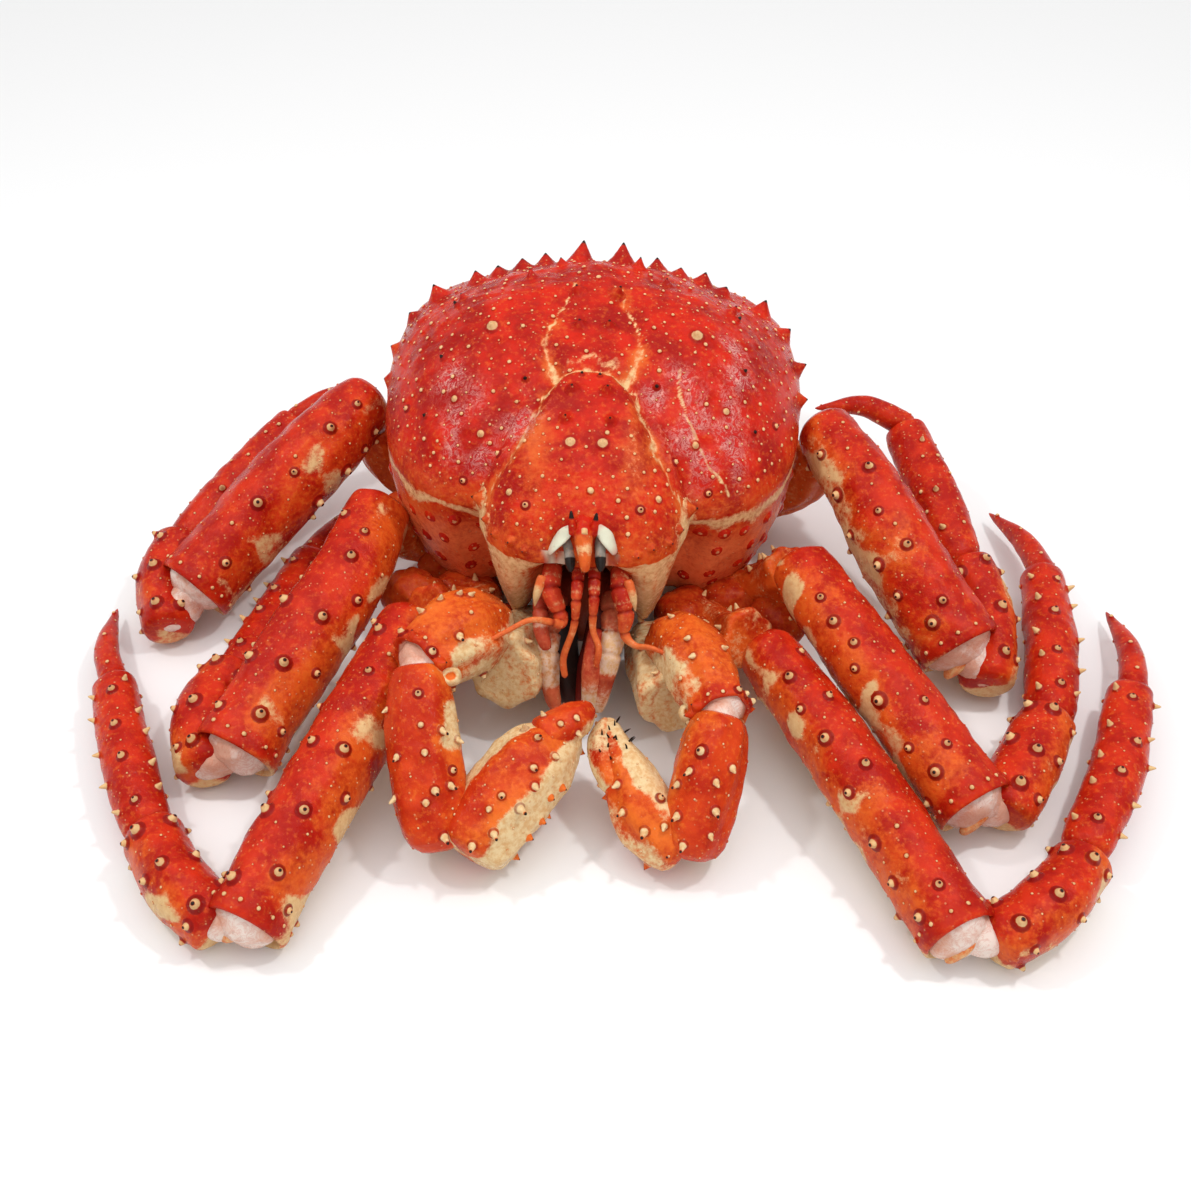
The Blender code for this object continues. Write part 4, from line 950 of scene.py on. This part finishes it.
def lobe(piece, middle, axis, long, wide, seed, **paint):
    """An uneven ellipsoid of meat or skin added to a piece."""
    unit, faces = ball(36, 26)
    axis = np.array(axis, float) / np.linalg.norm(axis)
    spots = unit * wide
    spots += axis * ((spots @ axis) * (long / wide - 1))[:, None]
    spots *= (1 + 0.06 * waves(spots, 7, seed) + 0.03 * waves(spots, 3, seed + 1))[:, None]
    add_to(piece, to_frame(spots + middle), faces, bare(len(unit), **paint))


def knuckle(piece, tube_end, tube_before, next_end, seed):
    """White joint meat: a cushion in the tube's mouth, a neck to the next tube, a tan tendon between."""
    near, radius, far = np.array(tube_end[:3], float), tube_end[3], np.array(next_end[:3], float)
    way = near - np.array(tube_before[:3], float)
    way /= np.linalg.norm(way)
    lobe(piece, near + way * 0.15 * radius, way, 0.62 * radius, 0.86 * radius, seed, flesh=1.0)
    neck = np.linalg.norm(far - near) / 2 + 5
    lobe(piece, (near + far) / 2, far - near, neck, 0.72 * next_end[3], seed + 5, flesh=1.0)
    across = np.cross(way, [0, 0, 1])
    tendon = near + way * 0.62 * radius + across * 0.2 * radius
    lobe(piece, tendon, across + [0, 0, -0.8], 0.5 * radius, 0.2 * radius, seed + 9, warm=1.0, pale=0.55)


# lumps of the short base segments that fill the space under the shell's wall, painted dark red-brown as the
# shade there:
# (middle, axis, half length, half width)
COXAE = {"right_leg_b": [((60, -45, 15), (1, -0.5, 0.2), 17, 13), ((84, -60, 16), (1, -1, 0), 15, 12)],
         "right_leg_c": [((48, -66, 15), (0.6, -1, 0.2), 18, 13), ((41, -59, 18), (-0.3, -1, 0.2), 17, 13)],
         "left_leg_b": [((-68, -20, 15), (-1, -0.3, 0.2), 18, 13)],
         "left_leg_c": [((-62, -42, 15), (-1, -0.5, 0.2), 18, 13), ((-46, -66, 14), (-0.6, -1, 0.2), 16, 12),
                        ((-83, -52, 22), (-1, 0.5, 0.1), 19, 13)]}
leg_finish = shell_finish("leg_shell", Deep=(0.38, 0.008, 0.003), Bright=(0.58, 0.026, 0.006),
                          Orange=(0.70, 0.118, 0.015), Cream=(0.72, 0.47, 0.22), Blotch=70.0)
for number, (leg, parts) in enumerate(LEGS.items()):
    for k, (part, chain) in enumerate(parts.items()):
        piece = limb(leg, part, chain, 10 * number + k)
        if part == "ischium":
            for middle, axis, long, wide in COXAE.get(leg, []):
                # painted shade: dark red-brown on the base lumps under the shell's wall
                lobe(piece, middle, axis, long, wide, 80 + number, warm=0.5, ring=0.45, pale=0.2)
        if part == "merus":
            knuckle(piece, chain[-1], chain[-2], parts["carpus"][0], number)
        show(piece, leg + "_" + part, leg_finish)

# ==== Claws ====
# The two front limbs fold inwards and end in pincers whose tips meet under the mouth. Their shell is
# orange rather than red, cream on the inner faces, with black-tipped cream pegs.
CLAWS = {
    "right_claw": {
        "ischium": [(25, -74, 17, 12), (29, -98, 25, 15), (33, -119, 29, 15.5)],
        "merus": [(35, -98, 40, 14), (42, -114, 46, 16), (50, -140, 46, 12)],
        "carpus": [(50, -151, 48, 11.5), (45, -166, 36, 14.3), (39, -186, 15, 14)],
        "palm": [(32, -185, 14, 11), (22, -177, 19, 13.5), (14, -162, 27, 11), (8, -149, 31, 7.5),
                 (5, -136, 34, 4)],
        "finger": [(7, -160, 28, 7), (3, -149, 31, 7), (4, -137, 36, 3.6)]},
    "left_claw": {
        "ischium": [(-28, -68, 17, 12), (-34, -90, 28, 16), (-39, -107, 35, 17)],
        "merus": [(-47, -92, 42, 14), (-56, -105, 52, 18.5), (-70, -123, 55, 13)],
        "carpus": [(-72, -132, 56, 12), (-69, -156, 38, 15.5), (-63, -184, 18, 15)],
        "palm": [(-47, -185, 17, 15), (-37, -170, 24, 18.5), (-23, -155, 30, 17), (-14, -147, 32, 11),
                 (-7, -141, 33, 4.5)],
        "finger": [(-15, -146, 39, 9.5), (-8, -141, 40, 8), (-2, -133, 40, 4)]}}
CONDYLES = {"right_claw": (38, -142, 45), "left_claw": (-58.5, -134, 58)}
TIP_OVER = np.array([[1, 0, 0], [0, 0.8, -0.6], [0, 0.6, 0.8]])


def hinge_knob(piece, middle, seed):
    """The pale knob on the inner side of a claw's joint, with a shallow red pit in its middle."""
    knob, faces = ball(32, 24)
    pit = bell(1 - knob[:, 2], 0.12)
    knob = knob * [4.4, 4.0, 3.4] - np.outer(2.0 * pit, [0, 0, 1])
    knob += 0.25 * waves(knob, 3, seed)[:, None] * [1, 1, 0.5]
    add_to(piece, to_frame(knob @ TIP_OVER.T + middle), faces, bare(len(knob), warm=0.8, pale=1.0 - pit))


claw_finish = shell_finish("claw_shell", Deep=(0.46, 0.020, 0.004), Bright=(0.62, 0.050, 0.008),
                           Orange=(0.76, 0.15, 0.018), Cream=(0.76, 0.56, 0.30), Blotch=65.0)
for number, (claw, parts) in enumerate(CLAWS.items()):
    for k, (part, chain) in enumerate(parts.items()):
        piece = limb(claw, part, chain, 100 + 10 * number + k)
        if part == "merus":
            knuckle(piece, chain[-1], chain[-2], parts["carpus"][0], number)
            hinge_knob(piece, CONDYLES[claw], 60 + number)
        show(piece, claw + "_" + part, claw_finish)

# ==== Eyes, feelers and mouth ====
# Short grey stalks carry the black eyes beside the rostrum; jointed orange feelers and the pink
# mouth legs hang below them. Chains are (across, along, height, radius) in the shell's frame.
eye_finish = shell_finish("eye_shell", 0.4, 0.15, Deep=(0.20, 0.17, 0.14), Bright=(0.46, 0.42, 0.36),
                          Orange=(0.55, 0.38, 0.26))
feeler_finish = shell_finish("feeler_shell", 0.4, Deep=(0.40, 0.014, 0.007), Bright=(0.60, 0.050, 0.018),
                             Orange=(0.72, 0.16, 0.04))
mouth_finish = shell_finish("mouth_shell", 0.4, Deep=(0.44, 0.035, 0.018), Bright=(0.60, 0.085, 0.04),
                            Orange=(0.66, 0.17, 0.07), Cream=(0.72, 0.50, 0.36))
STALK = [(0, 0), (0, 0.8), (0.05, 0.95), (0.4, 0.86), (0.66, 0.74), (0.73, 0.82), (0.83, 0.88), (0.93, 0.7),
         (0.98, 0.42), (1, 0.2), (1, 0)]
JOINTED = [(0, 0), (0, 0.7), (0.02, 1), (0.15, 1.04), (0.17, 0.8), (0.19, 1.06), (0.31, 1), (0.33, 0.78),
           (0.35, 1.06), (0.47, 1), (0.49, 0.85), (0.51, 1.05), (0.9, 0.9), (0.98, 0.7), (1, 0.3), (1, 0)]
for node, chain in (("eye_right", [(10, -88, 1, 3.4), (7.9, -99, 0.5, 3.2), (8.6, -109.5, -6, 2.4)]),
                    ("eye_left", [(-8, -88, -1, 3.4), (-5.2, -99, -1.5, 3.2), (-3.4, -109.5, -7, 2.4)])):
    show(body_tube(None, chain, STALK, 32, 44, dark=([0.73, 0.79], [0, 1])), node, eye_finish)

# each feeler's chain, and that of the pointed scale beside its foot, if it has one
FEELERS = {
    "antenna_right": (
        [(16, -96, -16, 4.2), (17, -106.5, -19.5, 4.2), (19.5, -113, -26, 3.6), (19.5, -117, -33, 2.4),
         (24, -120.5, -36, 1.5), (31, -124, -33.5, 1.2), (44, -130, -34, 0.9)],
        [(19.5, -104, -15, 2.4), (22, -109, -20, 2.0), (23.5, -111, -26, 0.6)]),
    "antenna_left": (
        [(-11.5, -96, -16, 4.2), (-11.8, -106.5, -20, 4.2), (-7.6, -112.5, -27, 3.4), (-6.8, -116, -30, 2.4),
         (-11, -119, -26.5, 1.5), (-19, -122, -23, 1.2), (-28, -126, -26, 1.1), (-38.5, -130, -31, 0.9)],
        [(-15, -104, -15, 2.4), (-17, -109, -20, 1.8), (-18, -111, -26, 0.6)]),
    "antennule_right": (
        [(5.5, -96, -14, 3.0), (6.3, -110, -19, 2.4), (6.4, -117, -31, 1.5), (9.2, -122, -37, 1.5),
         (8.5, -126, -45, 1.7)], None),
    "antennule_left": (
        [(-0.5, -96, -14, 3.0), (-0.9, -110, -19, 2.4), (-1.4, -116, -31, 1.6), (-5.2, -122, -44, 1.6),
         (-4.2, -126, -52, 2.0)], None)}
# orange tubes with pale bands and a dark line in each joint
FEELER_WARM = ([0, 0.2, 0.4, 0.6, 0.9], [0, 0.1, 0.4, 0.8, 0.6])
FEELER_PALE = ([0.03, 0.1, 0.15, 0.22, 0.27, 0.31, 0.5, 0.58, 0.7], [0, 0.45, 0, 0, 0.5, 0, 0, 0.45, 0.2])
FEELER_RING = ([0, 0.14, 0.17, 0.2, 0.31, 0.33, 0.36, 0.47, 0.49, 0.53],
               [0.6, 0.2, 0.85, 0.2, 0.1, 0.85, 0.1, 0, 0.8, 0])
for node, (chain, scale) in FEELERS.items():
    feeler = body_tube(None, chain, JOINTED, 24, 110, warm=FEELER_WARM, pale=FEELER_PALE, ring=FEELER_RING)
    if scale:
        body_tube(feeler, scale, TIP, 20, 24, warm=0.7, pale=([0.2, 0.5, 1], [0.1, 0.8, 1]))
    show(feeler, node, feeler_finish)

# each mouth leg is its jointed palp, a shorter piece beside it and the jaw behind, a real part painted near
# black as the shade in the mouth:
# (chain, outline, segments, rings, paint along it)
MOUTH_LEGS = {
    "maxilliped_right": [
        ([(15, -94, -34, 6.6), (14.6, -114, -40, 5.2), (12, -123, -54, 4.8), (9.5, -129, -69, 3.8)],
         JOINTED, 40, 70,
         {"warm": 0.6, "pale": ([0, 0.3, 0.4, 0.6, 0.68, 0.8, 1], [0.1, 0.3, 0.95, 0.9, 0.1, 0.5, 0.8]),
          "ring": ([0, 0.3, 0.62, 0.7, 0.85], [0.7, 0, 0, 0.7, 0.15])}),
        ([(7.5, -112, -36, 3.4), (6.8, -123, -50, 4.4), (6.6, -129.5, -70, 3.6)], BLUNT, 32, 40,
         {"warm": ([0, 0.5, 1], [0.2, 0.6, 1]), "pale": ([0.45, 0.8], [0, 0.95]),
          "ring": ([0, 0.3], [0.6, 0])}),
        # painted shade: the jaw is near black
        ([(12, -98, -38, 7.5), (8, -111, -52, 7), (5, -117, -66, 6.5), (3.5, -121, -77, 4)], BLUNT, 28, 36,
         {"ring": ([0, 0.6, 1], [0.95, 0.9, 0.6]), "dark": ([0, 0.7, 1], [0.6, 0.5, 0.4])})],
    "maxilliped_left": [
        ([(-11, -94, -36, 6.6), (-12, -113, -43, 5.0), (-10.6, -123, -59, 4.4), (-7.5, -129, -70, 3.6)],
         JOINTED, 40, 70,
         {"warm": 0.6, "pale": ([0, 0.3, 0.45, 0.75, 0.82], [0, 0.2, 0.75, 0.7, 0.0]),
          "ring": ([0, 0.35, 0.76, 0.84, 1], [0.8, 0.1, 0, 0.35, 0.1])}),
        # painted highlight: the cream band across this short piece
        ([(-16, -100, -28, 3.5), (-15, -116, -33, 3.4), (-12, -121, -41, 3.0)], JOINTED, 24, 40,
         {"warm": 0.3, "ring": ([0, 0.6, 1], [0.8, 0.5, 0.2]), "pale": ([0.5, 0.62, 0.7], [0, 0.7, 0])}),
        # painted shade: the jaw is near black
        ([(-9, -98, -38, 7.5), (-6, -111, -52, 7), (-3.5, -117, -66, 6), (-1.5, -121, -77, 3.6)],
         BLUNT, 28, 36,
         {"ring": ([0, 0.6, 1], [0.95, 0.9, 0.8]), "dark": ([0, 0.7, 1], [0.75, 0.7, 0.6])})]}
for node, tubes in MOUTH_LEGS.items():
    mouth_leg = None
    for chain, outline, segments, rings, paint in tubes:
        mouth_leg = body_tube(mouth_leg, chain, outline, segments, rings, **paint)
    show(mouth_leg, node, mouth_finish)

# ==== Floor, light and camera ====
# A plain pale floor and soft studio light from above and behind, as over a serving counter.
bpy.ops.mesh.primitive_plane_add(size=8, location=(0, 0, -0.0002))
floor = bpy.context.active_object
floor.name = "floor"
paper = bpy.data.materials.new("floor_paper")
paper.use_nodes = True
plug(paper.node_tree.nodes["Principled BSDF"].inputs["Base Color"], (0.86, 0.86, 0.86))
plug(paper.node_tree.nodes["Principled BSDF"].inputs["Roughness"], 0.7)
floor.data.materials.append(paper)

# a white sky that is brightest straight above
world = bpy.data.worlds.new("studio")
bpy.context.scene.world = world
world.use_nodes = True
sky = world.node_tree
upward = sky.nodes.new("ShaderNodeSeparateXYZ")
plug(upward.inputs[0], sky.nodes.new("ShaderNodeTexCoord").outputs["Generated"])
overhead = maths("POWER", maths("MAXIMUM", upward.outputs[2], 0.0), 3.0)
plug(sky.nodes["Background"].inputs[0], (1.0, 1.0, 1.0))
plug(sky.nodes["Background"].inputs[1], plus(times(overhead, 1.4), 0.38))


def softbox(name, at, size, power):
    """A square lamp that looks at the crab."""
    lamp = bpy.data.lights.new(name, "AREA")
    lamp.shape, lamp.size, lamp.energy = "SQUARE", size, power
    obj = bpy.data.objects.new(name, lamp)
    obj.location = at
    obj.rotation_euler = (Vector((0, -0.02, 0.05)) - Vector(at)).to_track_quat("-Z", "Y").to_euler()
    bpy.context.scene.collection.objects.link(obj)


softbox("key", (0.42, -0.05, 0.95), 0.07, 2.6)
softbox("window", (-0.5, 0.0, 0.85), 0.06, 1.7)
softbox("fill", (0.1, -1.1, 0.55), 0.8, 1.6)

lens = bpy.data.cameras.new("camera")
lens.lens, lens.sensor_width, lens.clip_start = 41.23, 36.0, 0.01
camera = bpy.data.objects.new("camera", lens)
camera.location = (-0.0094, -0.4415, 0.468)
camera.rotation_euler = (math.radians(90 - 44.3), 0, 0)
bpy.context.scene.collection.objects.link(camera)
bpy.context.scene.camera = camera
bpy.context.scene.view_settings.view_transform = "Standard"
